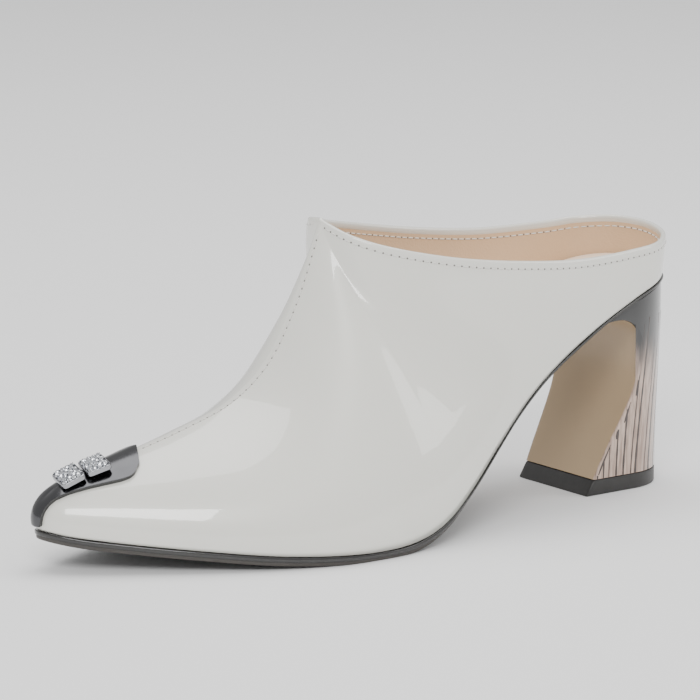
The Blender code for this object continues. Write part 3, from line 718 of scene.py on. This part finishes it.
class MULE_OT_upper(bpy.types.Operator):
    """Patent leather outside of the upper, with its turned collar edge and its centre-front seam"""
    bl_idname = "mule.upper"
    bl_label = "Upper"

    def execute(self, context):
        sizes, colours = context.scene.mule_sizes, context.scene.mule_colours
        sheet = upper_sheet(sizes.row_cuts)
        lip, drop = sizes.lip / MM, sizes.facing / MM
        p, n = sheet.points, sheet.normal
        seam = sizes.seam_depth / MM
        last_share = sheet.count - 1
        outer = p.copy()
        for i, row in enumerate(sheet.rows):
            if row < THROAT_ROW:
                outer[sheet.index[-1, i, last_share]] -= n[sheet.index[-1, i, last_share]] * seam
        count = len(p)
        points = [outer, p - n * SKIN]
        faces = list(sheet.faces) + [tuple(count + c for c in reversed(face)) for face in sheet.faces]
        # The collar is a ring from the throat round the lateral side, the heel and the medial side
        cut = [i for i, row in enumerate(sheet.rows) if row >= THROAT_ROW - 1e-9]
        round_trip = [(-1, i) for i in cut] + [(1, i) for i in cut[-2:0:-1]]
        ring = [sheet.index[side, i, last_share] for side, i in round_trip]
        below = [sheet.index[side, i, last_share - 1] for side, i in round_trip]
        up = p[ring] - p[below]
        up[0] = (p[ring[0]] - p[sheet.index[-1, cut[0] - 1, last_share]])
        up /= np.linalg.norm(up, axis=1)[:, None]
        for _ in range(6):
            up = (np.roll(up, 1, 0) + up * 2 + np.roll(up, -1, 0)) / 4
        out = n[ring]
        up -= out * np.sum(up * out, axis=1)[:, None]
        up /= np.linalg.norm(up, axis=1)[:, None]
        top = p[ring]
        loops = [np.array(ring)]
        for turn in np.linspace(18, 180, 10):
            a = radians(turn)
            points.append(top + out * (cos(a) - 1) * WALL / 2 + up * (sin(a) * lip))
            loops.append(np.arange(len(ring)) + sum(len(x) for x in points[:-1]))
        points.append(top - out * WALL - up * drop)
        loops.append(np.arange(len(ring)) + sum(len(x) for x in points[:-1]))
        # The leather's inner face starts below the facing
        points[1][np.array(ring)] = top - out * SKIN - up * drop
        loops.append(np.array(ring) + count)
        size = len(ring)
        for a, b in zip(loops, loops[1:]):
            for k in range(size):
                faces.append((a[k], a[(k + 1) % size], b[(k + 1) % size], b[k]))
        for side in (-1, 1):
            for i in range(len(sheet.rows) - 1):
                a, b = sheet.index[side, i, 0], sheet.index[side, i + 1, 0]
                faces.append((a, b, b + count, a + count))
        made = make_object("patent_upper", np.concatenate(points), faces, [patent_leather(colours)])
        settle(made, "upper_patent", "upper")
        return {"FINISHED"}


class MULE_OT_lining(bpy.types.Operator):
    """Beige leather lining on the inside of the upper"""
    bl_idname = "mule.lining"
    bl_label = "Lining"

    def execute(self, context):
        sizes, colours = context.scene.mule_sizes, context.scene.mule_colours
        rows = upper_rows(max(4, sizes.row_cuts // 2))
        top = top_shares(rows, (1.4, 0.0))
        collar = rows > THROAT_ROW + 0.02
        end = np.where(collar, top[0], 1.0)
        sheet = Sheet(rows, [end * (0.03 + 0.97 * k / 30) for k in range(31)])
        p, n = sheet.points, sheet.normal
        count = len(p)
        wrinkle = np.zeros(count)
        for side, i, j in sheet.index:
            if side > 0 and 13.2 < rows[i] < 15.6:
                share = j / 30
                wave = sin((rows[i] - 14.3) * 16.0) * np.exp(-((rows[i] - 14.4) / 0.28) ** 2)
                wrinkle[sheet.index[side, i, j]] = 0.22 * wave * sin(pi * min(1.0, share * 1.1)) ** 2
        inner = p - n * (WALL - wrinkle)[:, None]
        faces = [tuple(reversed(face)) for face in sheet.faces]
        faces = [tuple(c + count for c in face) for face in faces] + list(sheet.faces)
        points = np.concatenate([p - n * 1.0, inner])
        for a, b in edge_loops(sheet.faces):
            faces.append((b, a, a + count, b + count))
        leather = grain_leather("beige_lining_leather", tuple(c * 0.9 for c in colours.lining),
                                tuple(colours.lining), 0.8, 0.55, 0.12)
        made = make_object("lining", points, faces, [leather], crease=50)
        settle(made, "sock_leather")
        return {"FINISHED"}


def run_of_stitches(pile, holes, path, normal, sizes, start=0.4):
    """Lay stitches and needle holes along a path on the surface."""
    step = np.concatenate([[0], np.cumsum(np.linalg.norm(np.diff(path, axis=0), axis=1))])
    length, gap, thick = sizes.stitch / MM, sizes.stitch_gap / MM, sizes.thread / MM
    at = lambda d: np.array([np.interp(d, step, path[:, k]) for k in range(3)])
    face = lambda d: np.array([np.interp(d, step, normal[:, k]) for k in range(3)])
    d = start
    while d + length < step[-1]:
        t = np.linspace(0, 1, 7)
        line = np.array([at(d + length * k) for k in t])
        out = np.array([face(d + length * k) for k in t])
        rise = np.sqrt(np.maximum(0, 1 - (2 * t - 1) ** 2)) * thick * 0.55 - thick * 0.25
        pts, fcs = tube(line + out * rise[:, None], out, thick * 0.5 * (0.6 + 0.4 * np.sin(pi * t)), 6)
        pile.add(pts, fcs)
        end = d - gap * 0.5
        middle, up = at(end), face(end)
        side = np.cross(up, at(end + 0.3) - at(end - 0.3))
        side /= max(np.linalg.norm(side), 1e-9)
        ahead = np.cross(side, up)
        ring = [middle + (side * cos(a) + ahead * sin(a)) * thick * 0.62 + up * 0.015
                for a in np.linspace(0, 2 * pi, 9)[:-1]]
        low = [q - up * 0.3 for q in ring]
        holes.add(ring + low, [tuple(range(8)), tuple(range(15, 7, -1))]
                  + [(k, k + 8, (k + 1) % 8 + 8, (k + 1) % 8) for k in range(8)])
        d += length + gap


class MULE_OT_stitching(bpy.types.Operator):
    """Thread of the collar's top line, outside and inside, and of the centre-front seam"""
    bl_idname = "mule.stitching"
    bl_label = "Stitching"

    def execute(self, context):
        sizes, colours = context.scene.mule_sizes, context.scene.mule_colours
        pile, holes = Pile(), Pile()
        rows = np.linspace(THROAT_ROW + 0.12, LAST_ROW, 700)
        inset = sizes.stitch_inset / MM
        share = top_shares(rows, (inset,))[0]
        lateral, medial = LAST.wall(-1, rows, share), LAST.wall(1, rows, share)
        out = LAST.out(-1, rows, share), LAST.out(1, rows, share)
        path = np.concatenate([lateral, medial[-2::-1]])
        normal = np.concatenate([out[0], out[1][-2::-1]])
        run_of_stitches(pile, holes, path, normal, sizes)
        share = top_shares(rows, (inset + 0.9,))[0]
        lateral, medial = LAST.wall(-1, rows, share), LAST.wall(1, rows, share)
        out = LAST.out(-1, rows, share), LAST.out(1, rows, share)
        path = np.concatenate([lateral, medial[-2::-1]])
        normal = np.concatenate([out[0], out[1][-2::-1]])
        run_of_stitches(pile, holes, path - normal * WALL, -normal, sizes)
        rows = np.linspace(PLATE_END_ROW + 0.1, THROAT_ROW - 0.1, 500)
        share = top_shares(rows, (1.3,))[0]
        run_of_stitches(pile, holes, LAST.wall(-1, rows, share), LAST.out(-1, rows, share), sizes)
        thread = make_object("stitches", pile.points, pile.faces, [sewing_thread(colours)])
        settle(thread, "upper_patent")
        pits = make_object("needle_holes", holes.points, holes.faces, [needle_hole()], smooth=False)
        settle(pits, "upper_patent")
        return {"FINISHED"}


class MULE_OT_insole(bpy.types.Operator):
    """Padded insole covered in beige leather"""
    bl_idname = "mule.insole"
    bl_label = "Insole"

    def execute(self, context):
        colours = context.scene.mule_colours
        inset = -(WALL + 2 * FIT_GAP)
        rise = lambda high: lambda s: seat_line(s) + high
        levels = [(inset - SOCK_BEVEL * (1 - sin(a)), rise(SOCK_THICK - SOCK_BEVEL * (1 - cos(a))))
                  for a in np.linspace(0, pi / 2, 7)]
        levels.append((inset, rise(FIT_GAP)))

        def crown(s, share):
            return -0.5 * sin(pi * share) ** 2

        points, faces, band = plank(16, LAST_ROW * 8, levels, crown)
        leather = grain_leather("sock_leather", tuple(c * 0.965 for c in colours.sock), tuple(colours.sock),
                                1.0, 0.5, 0.07)
        made = make_object("insole_sock", points, faces, [leather], crease=60)
        settle(made, "sock_leather", "insole")
        return {"FINISHED"}


class MULE_OT_outsole(bpy.types.Operator):
    """Black outsole with a glossy inked upper edge and a duller lower edge"""
    bl_idname = "mule.outsole"
    bl_label = "Outsole"

    def execute(self, context):
        top = lambda s: seat_line(s) - FIT_GAP
        tall = lambda s: top(s) - sole_under(s)
        step = lambda s: top(s) - tall(s) * WELT_SHARE
        low = 0.5 - WELT_STEP
        levels = [(0.2, top), (0.4, lambda s: top(s) - 0.06 * tall(s)),
                  (0.5, lambda s: top(s) - 0.14 * tall(s)),
                  (0.5, lambda s: step(s) + 0.10 * tall(s)), (0.42, lambda s: step(s) + 0.03 * tall(s)),
                  (0.25, step), (low, lambda s: step(s)), (low, lambda s: sole_under(s) + 0.14 * tall(s)),
                  (low - 0.1, lambda s: sole_under(s) + 0.04 * tall(s)), (low - 0.3, sole_under)]
        points, faces, band = plank(12, LAST_ROW * 10, levels)
        ink = moulded_rubber("inked_welt_edge", linear("#141312"), 0.22, 0.6)
        edge = moulded_rubber("sole_rubber_edge", linear("#34312E"), 0.5)
        under = moulded_rubber("sole_rubber_tread", linear("#1C1B1A"), 0.6)
        slots = [0 if b < 5 else (1 if b < len(levels) - 1 else 2) for b in band]
        made = make_object("outsole_edge", points, faces, [ink, edge, under], slots, crease=40)
        settle(made, "sole_rubber", "outsole")
        return {"FINISHED"}


def heel_loop(front, half, back, corner=0.7, arc=34, side_cuts=12, front_cuts=24):
    """Plan of the heel: a straight front, eased corners, straight sides and a round back."""
    middle = back - half
    loop = []
    ease = [(front + corner * (1 - sin(a)), half - corner * (1 - cos(a))) for a in np.linspace(pi / 2, 0, 5)]
    begin = front + corner
    straight = [(begin + (middle - begin) * k / side_cuts, half) for k in range(1, side_cuts)]
    bow = [(middle + half * sin(a), half * cos(a)) for a in np.linspace(0, pi / 2, arc + 1)]
    quarter = ease + straight + bow
    loop = [(x, -y) for x, y in quarter] + quarter[-2::-1]
    flat = half - corner
    loop += [(front, flat - 2 * flat * k / front_cuts) for k in range(1, front_cuts)]
    return loop, front_cuts


def heel_levels():
    """Front and back of the heel at each level: (share, front, front height, half width)."""
    seat = lambda s: sole_under(s) - FIT_GAP
    breast = np.array(BREAST)
    reach = breast[-1, 0]
    foot = (breast[0, 0] - FIT_GAP * 0.2, LIFT_HIGH + FIT_GAP)
    low = np.concatenate([[foot], breast[1:], [(reach - 6.0, seat(reach - 6.0))]])
    steps = np.concatenate([[0], np.cumsum(np.linalg.norm(np.diff(low, axis=0), axis=1))])
    return low, steps / steps[-1], foot, seat


def heel_point(level, x, y, front, front_high, foot, seat):
    """Height of a loop point of the heel at its level."""
    back_high = foot[1] + (float(seat(HEEL_BACK)) - foot[1]) * level
    along = (x - front) / (HEEL_BACK - front)
    straight = front_high + (back_high - front_high) * along
    ends = float(seat(front)) + (float(seat(HEEL_BACK)) - float(seat(front))) * along
    bow = (float(seat(x)) - ends) * level ** 3
    return min(straight + bow, float(seat(x)))


class MULE_OT_heel(bpy.types.Operator):
    """Block heel: striped lacquered sides, a black top and a taupe scooped front"""
    bl_idname = "mule.heel"
    bl_label = "Heel block"

    def execute(self, context):
        colours = context.scene.mule_colours
        low, share, foot, seat = heel_levels()
        levels = np.linspace(0, 1, 71)
        points = []
        for level in levels:
            front, front_high = cubic(share, low, [level])[0]
            half = float(line_at(HEEL_SIDE, front_high))
            loop, front_cuts = heel_loop(front, half, HEEL_BACK)
            points += [(x, y, heel_point(level, x, y, front, front_high, foot, seat)) for x, y in loop]
        count = len(loop)
        faces, slots = [], []
        first_front = count - front_cuts
        for k in range(len(levels) - 1):
            for i in range(count):
                a, b = k * count + i, k * count + (i + 1) % count
                faces.append((a, b, b + count, a + count))
                slots.append(1 if i >= first_front else 0)
        for base, flip in ((0, True), (len(points) - count, False)):
            middle = len(points)
            ring = [base + i for i in range(count)]
            centre = np.mean([points[r] for r in ring], axis=0)
            points.append((centre[0], 0.0, centre[2]))
            for i in range(count):
                face = (ring[i], ring[(i + 1) % count], middle)
                faces.append(tuple(reversed(face)) if flip else face)
                slots.append(0)
        made = make_object("heel_block_cover", points, faces, [lacquered_heel(), breast_cover(colours)],
                           slots, crease=50)
        settle(made, "heel_plastic", "heel_block")
        self.lines(low, foot)
        return {"FINISHED"}

    def lines(self, low, foot):
        """Thin inlaid strips for the dark lines and ticks of the printed film."""
        pile = Pile()

        def surface(turn, high):
            """Point and outward direction on the side at a turn about the axis and a height."""
            level = high
            half = float(line_at(HEEL_SIDE, high))
            middle = HEEL_BACK - half
            a = radians(turn)
            dx, dy = -cos(a), -sin(a)
            # side wall first, then the round back
            reach = half / max(abs(dy), 1e-6)
            x = HEEL_AXIS + dx * reach
            if x <= middle:
                facing = -1.0 if dy < 0 else 1.0
                return np.array((x, half * facing, level)), np.array((0.0, facing, 0.0))
            ox = HEEL_AXIS - middle
            b = ox * dx
            c = ox * ox - half * half
            t = -b + (b * b - c) ** 0.5
            x, y = HEEL_AXIS + dx * t, dy * t
            n = np.array((x - middle, y, 0.0))
            return np.array((x, y, level)), n / np.linalg.norm(n)

        def front_at(high):
            return float(np.interp(high, low[:8, 1], low[:8, 0]))

        for mirror in (1, -1):
            for turn, width, fade in HEEL_LINES:
                if turn > 170 and mirror < 0:
                    continue
                heights = np.linspace(foot[1] + 0.05, fade, 26)
                strip = []
                for high in heights:
                    p, n = surface(turn, high)
                    if p[0] < front_at(high) + 0.9:
                        continue
                    wide = width * (1.0 - 0.45 * (high - 6) / 55) * (0.85 + 0.15 * sin(high * 0.9 + turn))
                    across = np.array((-n[1], n[0], 0.0))
                    p, n, across = (np.array((q[0], q[1] * mirror, q[2])) for q in (p, n, across))
                    strip.append((p, n, across, wide / 2))
                self.strip(pile, strip)
            for low_end, high_end in HEEL_TICKS:
                strip = []
                for k in np.linspace(0, 1, 9):
                    high = low_end + (high_end - low_end) * k
                    x = front_at(high) + 0.8 + 1.5 * (1 - k) * (0.3 if high_end - low_end > 8 else 1.0)
                    half = float(line_at(HEEL_SIDE, high))
                    p = np.array((x, -half * mirror, high))
                    n = np.array((0.0, -1.0 * mirror, 0.0))
                    wide = 0.42 * (0.35 + 0.65 * sin(pi * min(1, k + 0.1)))
                    strip.append((p, n, np.array((1.0, 0.0, 0.0)), wide))
                self.strip(pile, strip)
        made = make_object("heel_lines", pile.points, pile.faces, [heel_ink()], smooth=False)
        settle(made, "heel_plastic")

    def strip(self, pile, rows):
        if len(rows) < 3:
            return
        points, faces = [], []
        for p, n, across, half in rows:
            points += [p - across * half + n * 0.04, p + across * half + n * 0.04,
                       p + across * half - n * 0.2, p - across * half - n * 0.2]
        for k in range(len(rows) - 1):
            for c in range(4):
                a, b = k * 4 + c, k * 4 + (c + 1) % 4
                faces.append((a, b, b + 4, a + 4))
        faces += [(3, 2, 1, 0), tuple(len(points) - 4 + c for c in range(4))]
        pile.add(points, faces)


class MULE_OT_top_piece(bpy.types.Operator):
    """Black lift under the heel"""
    bl_idname = "mule.top_piece"
    bl_label = "Top piece"

    def execute(self, context):
        slant = BREAST[0][0] - LIFT_FRONT
        points, faces = [], []
        rings = ((0.0, 0.5), (0.15, 0.2), (0.5, 0.0), (LIFT_HIGH - 0.35, 0.0), (LIFT_HIGH - 0.08, 0.1),
                 (LIFT_HIGH, 0.3))
        for high, inset in rings:
            front = LIFT_FRONT + slant * high / LIFT_HIGH + inset
            loop, front_cuts = heel_loop(front, LIFT_HALF - inset, HEEL_BACK + 0.2 - inset, 0.5)
            points += [(x, y, high) for x, y in loop]
        count = len(loop)
        for k in range(len(rings) - 1):
            for i in range(count):
                a, b = k * count + i, k * count + (i + 1) % count
                faces.append((a, b, b + count, a + count))
        for base, flip in ((0, True), (len(rings) * count - count, False)):
            middle = len(points)
            points.append((HEEL_AXIS + 3, 0.0, points[base][2]))
            for i in range(count):
                face = (base + i, base + (i + 1) % count, middle)
                faces.append(tuple(reversed(face)) if flip else face)
        rubber = moulded_rubber("lift_rubber", linear("#232221"), 0.42)
        made = make_object("top_piece_lift", points, faces, [rubber], crease=45)
        settle(made, "lift_rubber", "top_piece")
        return {"FINISHED"}


def plate_edge(rows):
    """Share of the wall where the toe plate begins."""
    table = np.array(PLATE_EDGE)
    rows = np.asarray(rows, float)
    return sum(np.interp(rows + d, table[:, 0], table[:, 1]) for d in (-0.04, 0.0, 0.04)) / 3


class MULE_OT_toe_plate(bpy.types.Operator):
    """Dark polished metal plate over the toe's ridge and nose"""
    bl_idname = "mule.toe_plate"
    bl_label = "Toe plate"

    def execute(self, context):
        colours = context.scene.mule_colours
        rows = np.concatenate([np.linspace(0, 1.2, 61)[:-1], np.linspace(1.2, 2.8, 41)[:-1],
                               np.linspace(2.8, PLATE_END_ROW, 31)])
        start = plate_edge(rows)
        sheet = Sheet(rows, [start + (1 - start) * k / 18 for k in range(19)])
        p, n = sheet.points, sheet.normal
        count = len(p)
        points = np.concatenate([p + n * (FIT_GAP * 0.3), p + n * (FIT_GAP + PLATE_THICK)])
        faces = [tuple(reversed(face)) for face in sheet.faces]
        faces += [tuple(c + count for c in face) for face in sheet.faces]
        for a, b in edge_loops(sheet.faces):
            faces.append((b + count, a + count, a, b))
        metal = plated_metal("dark_nickel_plate", tuple(colours.plate), 0.14)
        made = make_object("toe_plate_metal", points, faces, [metal])
        bevel = made.modifiers.new("edge", "BEVEL")
        bevel.width = 0.00045
        bevel.segments = 3
        bevel.limit_method = "ANGLE"
        bevel.angle_limit = radians(48)
        apply_modifiers(made)
        made.data.polygons.foreach_set("use_smooth", [True] * len(made.data.polygons))
        settle(made, "plate_metal", "toe_plate")
        return {"FINISHED"}


def block_frame(place):
    """Middle and three directions of a block lying on the toe's ridge."""
    rows = np.linspace(0.5, 3.0, 200)
    ridge = LAST.crown(-1, rows)
    k = int(np.abs(ridge[:, 0] - place[0]).argmin())
    ahead = ridge[min(k + 6, 199)] - ridge[max(k - 6, 0)]
    slope = np.arctan2(ahead[2], np.hypot(ahead[0], ahead[1]))
    turn = radians(BLOCK_TURN)
    along = np.array((cos(turn) * cos(slope), sin(turn) * cos(slope), sin(slope) * cos(turn)))
    along /= np.linalg.norm(along)
    across = np.cross((-sin(slope), 0.0, cos(slope)), along)
    across /= np.linalg.norm(across)
    across = across + np.array((0.0, 0.0, 0.10))
    across -= along * np.dot(across, along)
    across /= np.linalg.norm(across)
    return np.array((place[0], place[1], ridge[k, 2])), along, across, np.cross(along, across)


def rounded_ring(long, wide, radius, cuts=6):
    """Rectangle with round corners, centred."""
    ring = []
    for cx, cy, turn in ((1, 1, 0), (-1, 1, 90), (-1, -1, 180), (1, -1, 270)):
        for k in range(cuts + 1):
            a = radians(turn + 90 * k / cuts)
            ring.append((cx * (long / 2 - radius) + radius * cos(a),
                         cy * (wide / 2 - radius) + radius * sin(a)))
    return ring


class MULE_OT_stones(bpy.types.Operator):
    """Two plated settings on the toe plate, paved with small cut stones"""
    bl_idname = "mule.stones"
    bl_label = "Stone blocks"

    def execute(self, context):
        sizes = context.scene.mule_sizes
        metal = plated_metal("rhodium_setting", linear("#A9AAAE"), 0.12)
        crystal = foiled_crystal()
        rng = np.random.default_rng(5)
        for name, place in BLOCKS.items():
            middle, along, across, up = block_frame(place)
            base = self.base_of(name, middle, up)
            to = lambda a, b, h: middle + along * a + across * b + up * (base + h)
            points, faces = [], []
            rings = ((0.0, 0.15), (0.12, 0.0), (BLOCK_HIGH - 0.75, 0.0), (BLOCK_HIGH - 0.5, 0.1),
                     (BLOCK_HIGH - 0.45, 0.35), (BLOCK_HIGH - 0.8, 0.45))
            for high, inset in rings:
                ring = rounded_ring(BLOCK_LONG - 2 * inset, BLOCK_WIDE - 2 * inset, BLOCK_ROUND - inset)
                points += [to(a, b, high) for a, b in ring]
            count = len(points) // len(rings)
            for k in range(len(rings) - 1):
                for i in range(count):
                    a, b = k * count + i, k * count + (i + 1) % count
                    faces.append((a, b, b + count, a + count))
            last = (len(rings) - 1) * count
            faces += [tuple(range(count - 1, -1, -1)), tuple(range(last, last + count))]
            setting = make_object(name + "_setting", points, faces, [metal], crease=40)
            settle(setting, "stone_setting", name)
            self.pave(name, to, along, across, up, sizes, crystal, metal, rng)
        return {"FINISHED"}

    def base_of(self, name, middle, up):
        """Height of the solid's lower face above the ridge point, along its upright."""
        points = np.array([v.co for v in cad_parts[name].data.vertices]) * 1000 - SHIFT
        return float(((points - middle) @ up).min())

    def pave(self, name, to, along, across, up, sizes, crystal, metal, rng):
        """Stones in staggered rows with small grip beads between them."""
        stones, beads = Pile(), Pile()
        wide = sizes.stone / MM
        pitch = wide * 1.04
        nx, ny = int((BLOCK_LONG - 0.4) / pitch), int((BLOCK_WIDE - 0.4) / (pitch * 0.9))
        for i in range(nx):
            for j in range(ny):
                a = (i - (nx - 1) / 2) * pitch + (0.22 * pitch if j % 2 else -0.22 * pitch)
                b = (j - (ny - 1) / 2) * pitch * 0.9
                if abs(a) > BLOCK_LONG / 2 - 0.5 or abs(b) > BLOCK_WIDE / 2 - 0.5:
                    continue
                if abs(a) > BLOCK_LONG / 2 - 1.2 and abs(b) > BLOCK_WIDE / 2 - 1.2:
                    continue
                tilt = rng.normal(0, 0.16, 2)
                high = BLOCK_HIGH - 0.35 + rng.normal(0, 0.06)
                u = up + along * tilt[0] + across * tilt[1]
                u /= np.linalg.norm(u)
                x = along - u * np.dot(along, u)
                x /= np.linalg.norm(x)
                y = np.cross(u, x)
                r = wide / 2
                rings = []
                spin = rng.uniform(0, pi / 4)
                for radius, rise, sides, offset in ((0.5, 0.42, 8, 0.0), (0.82, 0.26, 8, 0.5), (1.0, 0.02, 16, 0.0),
                                                    (0.98, -0.06, 16, 0.0), (0.3, -0.6, 8, 0.0)):
                    ring = []
                    for k in range(sides):
                        t = 2 * pi * (k + offset) / sides + spin
                        ring.append(to(a, b, high) + (x * cos(t) + y * sin(t)) * r * radius + u * rise * wide)
                    rings.append(ring)
                points = [q for ring in rings for q in ring]
                at = np.cumsum([0] + [len(ring) for ring in rings])
                faces = [tuple(range(8))]
                for k in range(8):
                    n = (k + 1) % 8
                    faces += [(at[0] + k, at[1] + k, at[0] + n), (at[0] + n, at[1] + k, at[1] + n)]
                    g = at[2]
                    faces += [(at[1] + k, g + 2 * k, g + 2 * k + 1),
                              (at[1] + k, g + 2 * k + 1, g + (2 * k + 2) % 16),
                              (at[1] + k, g + (2 * k + 2) % 16, at[1] + n)]
                for k in range(16):
                    n = (k + 1) % 16
                    faces.append((at[2] + k, at[3] + k, at[3] + n, at[2] + n))
                for k in range(8):
                    n = (k + 1) % 8
                    faces += [(at[3] + 2 * k, at[4] + k, at[3] + 2 * k + 1),
                              (at[3] + 2 * k + 1, at[4] + k, at[4] + n),
                              (at[3] + 2 * k + 1, at[4] + n, at[3] + (2 * k + 2) % 16)]
                faces.append(tuple(range(at[5] - 1, at[4] - 1, -1)))
                stones.add(points, faces)
                # grip beads at two corners of the stone
                for da, db in ((0.5, 0.45), (-0.5, 0.45)):
                    centre = to(a + da * pitch, b + db * pitch, BLOCK_HIGH - 0.2)
                    self.bead(beads, centre, along, across, up, 0.2)
        made = make_object(name + "_stones", stones.points, stones.faces, [crystal], smooth=False)
        settle(made, "stone_setting")
        grip = make_object(name + "_beads", beads.points, beads.faces, [metal])
        settle(grip, "stone_setting")

    def bead(self, pile, centre, x, y, z, radius):
        points, faces = [centre + z * radius, centre - z * radius], []
        for level in (0.5, 0.0, -0.5):
            r = radius * (1 - level * level) ** 0.5
            for k in range(6):
                a = 2 * pi * k / 6
                points.append(centre + (x * cos(a) + y * sin(a)) * r + z * level * radius)
        for k in range(6):
            n = (k + 1) % 6
            faces += [(0, 2 + k, 2 + n), (2 + k, 8 + k, 8 + n, 2 + n),
                      (8 + k, 14 + k, 14 + n, 8 + n), (14 + k, 1, 14 + n)]
        pile.add(points, faces)


# Stage
CAMERA_TURN = 36.4
CAMERA_RISE = 11.5
CAMERA_DISTANCE = 1261.0
CAMERA_SCALE = 2.974
CAMERA_TARGET = (141.0, 37.1, 48.5)


class MULE_OT_stage(bpy.types.Operator):
    """Camera, pale floor and soft studio light"""
    bl_idname = "mule.stage"
    bl_label = "Stage"

    def execute(self, context):
        colours = context.scene.mule_colours
        turn, rise = radians(CAMERA_TURN), radians(CAMERA_RISE)
        back = Vector((-sin(turn) * cos(rise), -cos(turn) * cos(rise), sin(rise)))
        target = Vector((np.array(CAMERA_TARGET) + SHIFT) * MM)
        camera = bpy.data.cameras.new("camera")
        camera.sensor_width = 36.0
        camera.lens = CAMERA_SCALE * CAMERA_DISTANCE * 36.0 / 700.0
        camera.clip_end = 100.0
        eye = bpy.data.objects.new("camera", camera)
        right = Vector((cos(turn), -sin(turn), 0.0))
        upward = back.cross(right)
        place = Matrix((right, upward, back)).transposed().to_4x4()
        place.translation = target + back * CAMERA_DISTANCE * MM
        eye.matrix_world = place
        context.scene.collection.objects.link(eye)
        context.scene.camera = eye

        reach = 6.0
        mesh = bpy.data.meshes.new("studio_floor")
        square = [(-reach, -reach, 0), (reach, -reach, 0), (reach, reach, 0), (-reach, reach, 0)]
        mesh.from_pydata(square, [], [(0, 1, 2, 3)])
        paint, tree, surface = new_material("white_studio_paper", Roughness=0.85)
        spot = add_node(tree, "TexCoord").outputs["Object"]
        tone = tuple(colours.floor)
        mottle(tree, surface, spot, tuple(c * 0.99 for c in tone), tone, 400.0)
        mesh.materials.append(paint)
        floor = bpy.data.objects.new("studio_floor", mesh)
        context.scene.collection.objects.link(floor)

        world = bpy.data.worlds.new("studio")
        world.use_nodes = True
        world.node_tree.nodes["Background"].inputs["Color"].default_value = (1.0, 1.0, 1.0, 1.0)
        world.node_tree.nodes["Background"].inputs["Strength"].default_value = 0.75
        context.scene.world = world
        for name, spot, aim, size, power in (
                ("key_softbox", (-1.1, -1.3, 1.3), (0.0, 0.0, 0.03), (0.9, 0.7), 26.0),
                ("top_softbox", (0.2, 0.3, 1.7), (0.0, 0.0, 0.0), (1.6, 1.2), 20.0),
                ("heel_softbox", (1.4, -0.9, 0.9), (0.05, 0.0, 0.05), (0.7, 1.0), 7.0)):
            light = bpy.data.lights.new(name, "AREA")
            light.shape = "RECTANGLE"
            light.size, light.size_y = size
            light.energy = power
            lamp = bpy.data.objects.new(name, light)
            lamp.location = spot
            lamp.rotation_euler = (Vector(spot) - Vector(aim)).to_track_quat("Z", "Y").to_euler()
            context.scene.collection.objects.link(lamp)
        return {"FINISHED"}


class MULE_PT_panel(bpy.types.Panel):
    """Lists the mule's pieces"""
    bl_idname = "MULE_PT_panel"
    bl_label = "Mule"
    bl_space_type = "VIEW_3D"
    bl_region_type = "UI"
    bl_category = "Mule"

    def draw(self, context):
        layout = self.layout
        for group in (context.scene.mule_sizes, context.scene.mule_colours):
            for name in group.__annotations__:
                layout.prop(group, name)
        for operator in OPERATORS:
            layout.operator(operator.bl_idname)


OPERATORS = (MULE_OT_upper, MULE_OT_lining, MULE_OT_stitching, MULE_OT_insole, MULE_OT_outsole, MULE_OT_heel,
             MULE_OT_top_piece, MULE_OT_toe_plate, MULE_OT_stones, MULE_OT_stage)
CLASSES = (MuleSizes, MuleColours, *OPERATORS, MULE_PT_panel)


def register():
    for made in CLASSES:
        bpy.utils.register_class(made)
    bpy.types.Scene.mule_sizes = PointerProperty(type=MuleSizes)
    bpy.types.Scene.mule_colours = PointerProperty(type=MuleColours)


def unregister():
    del bpy.types.Scene.mule_sizes
    del bpy.types.Scene.mule_colours
    for made in reversed(CLASSES):
        bpy.utils.unregister_class(made)


def main():
    register()
    for operator in OPERATORS:
        group, name = operator.bl_idname.split(".")
        getattr(getattr(bpy.ops, group), name)()


if __name__ == "__main__":
    main()
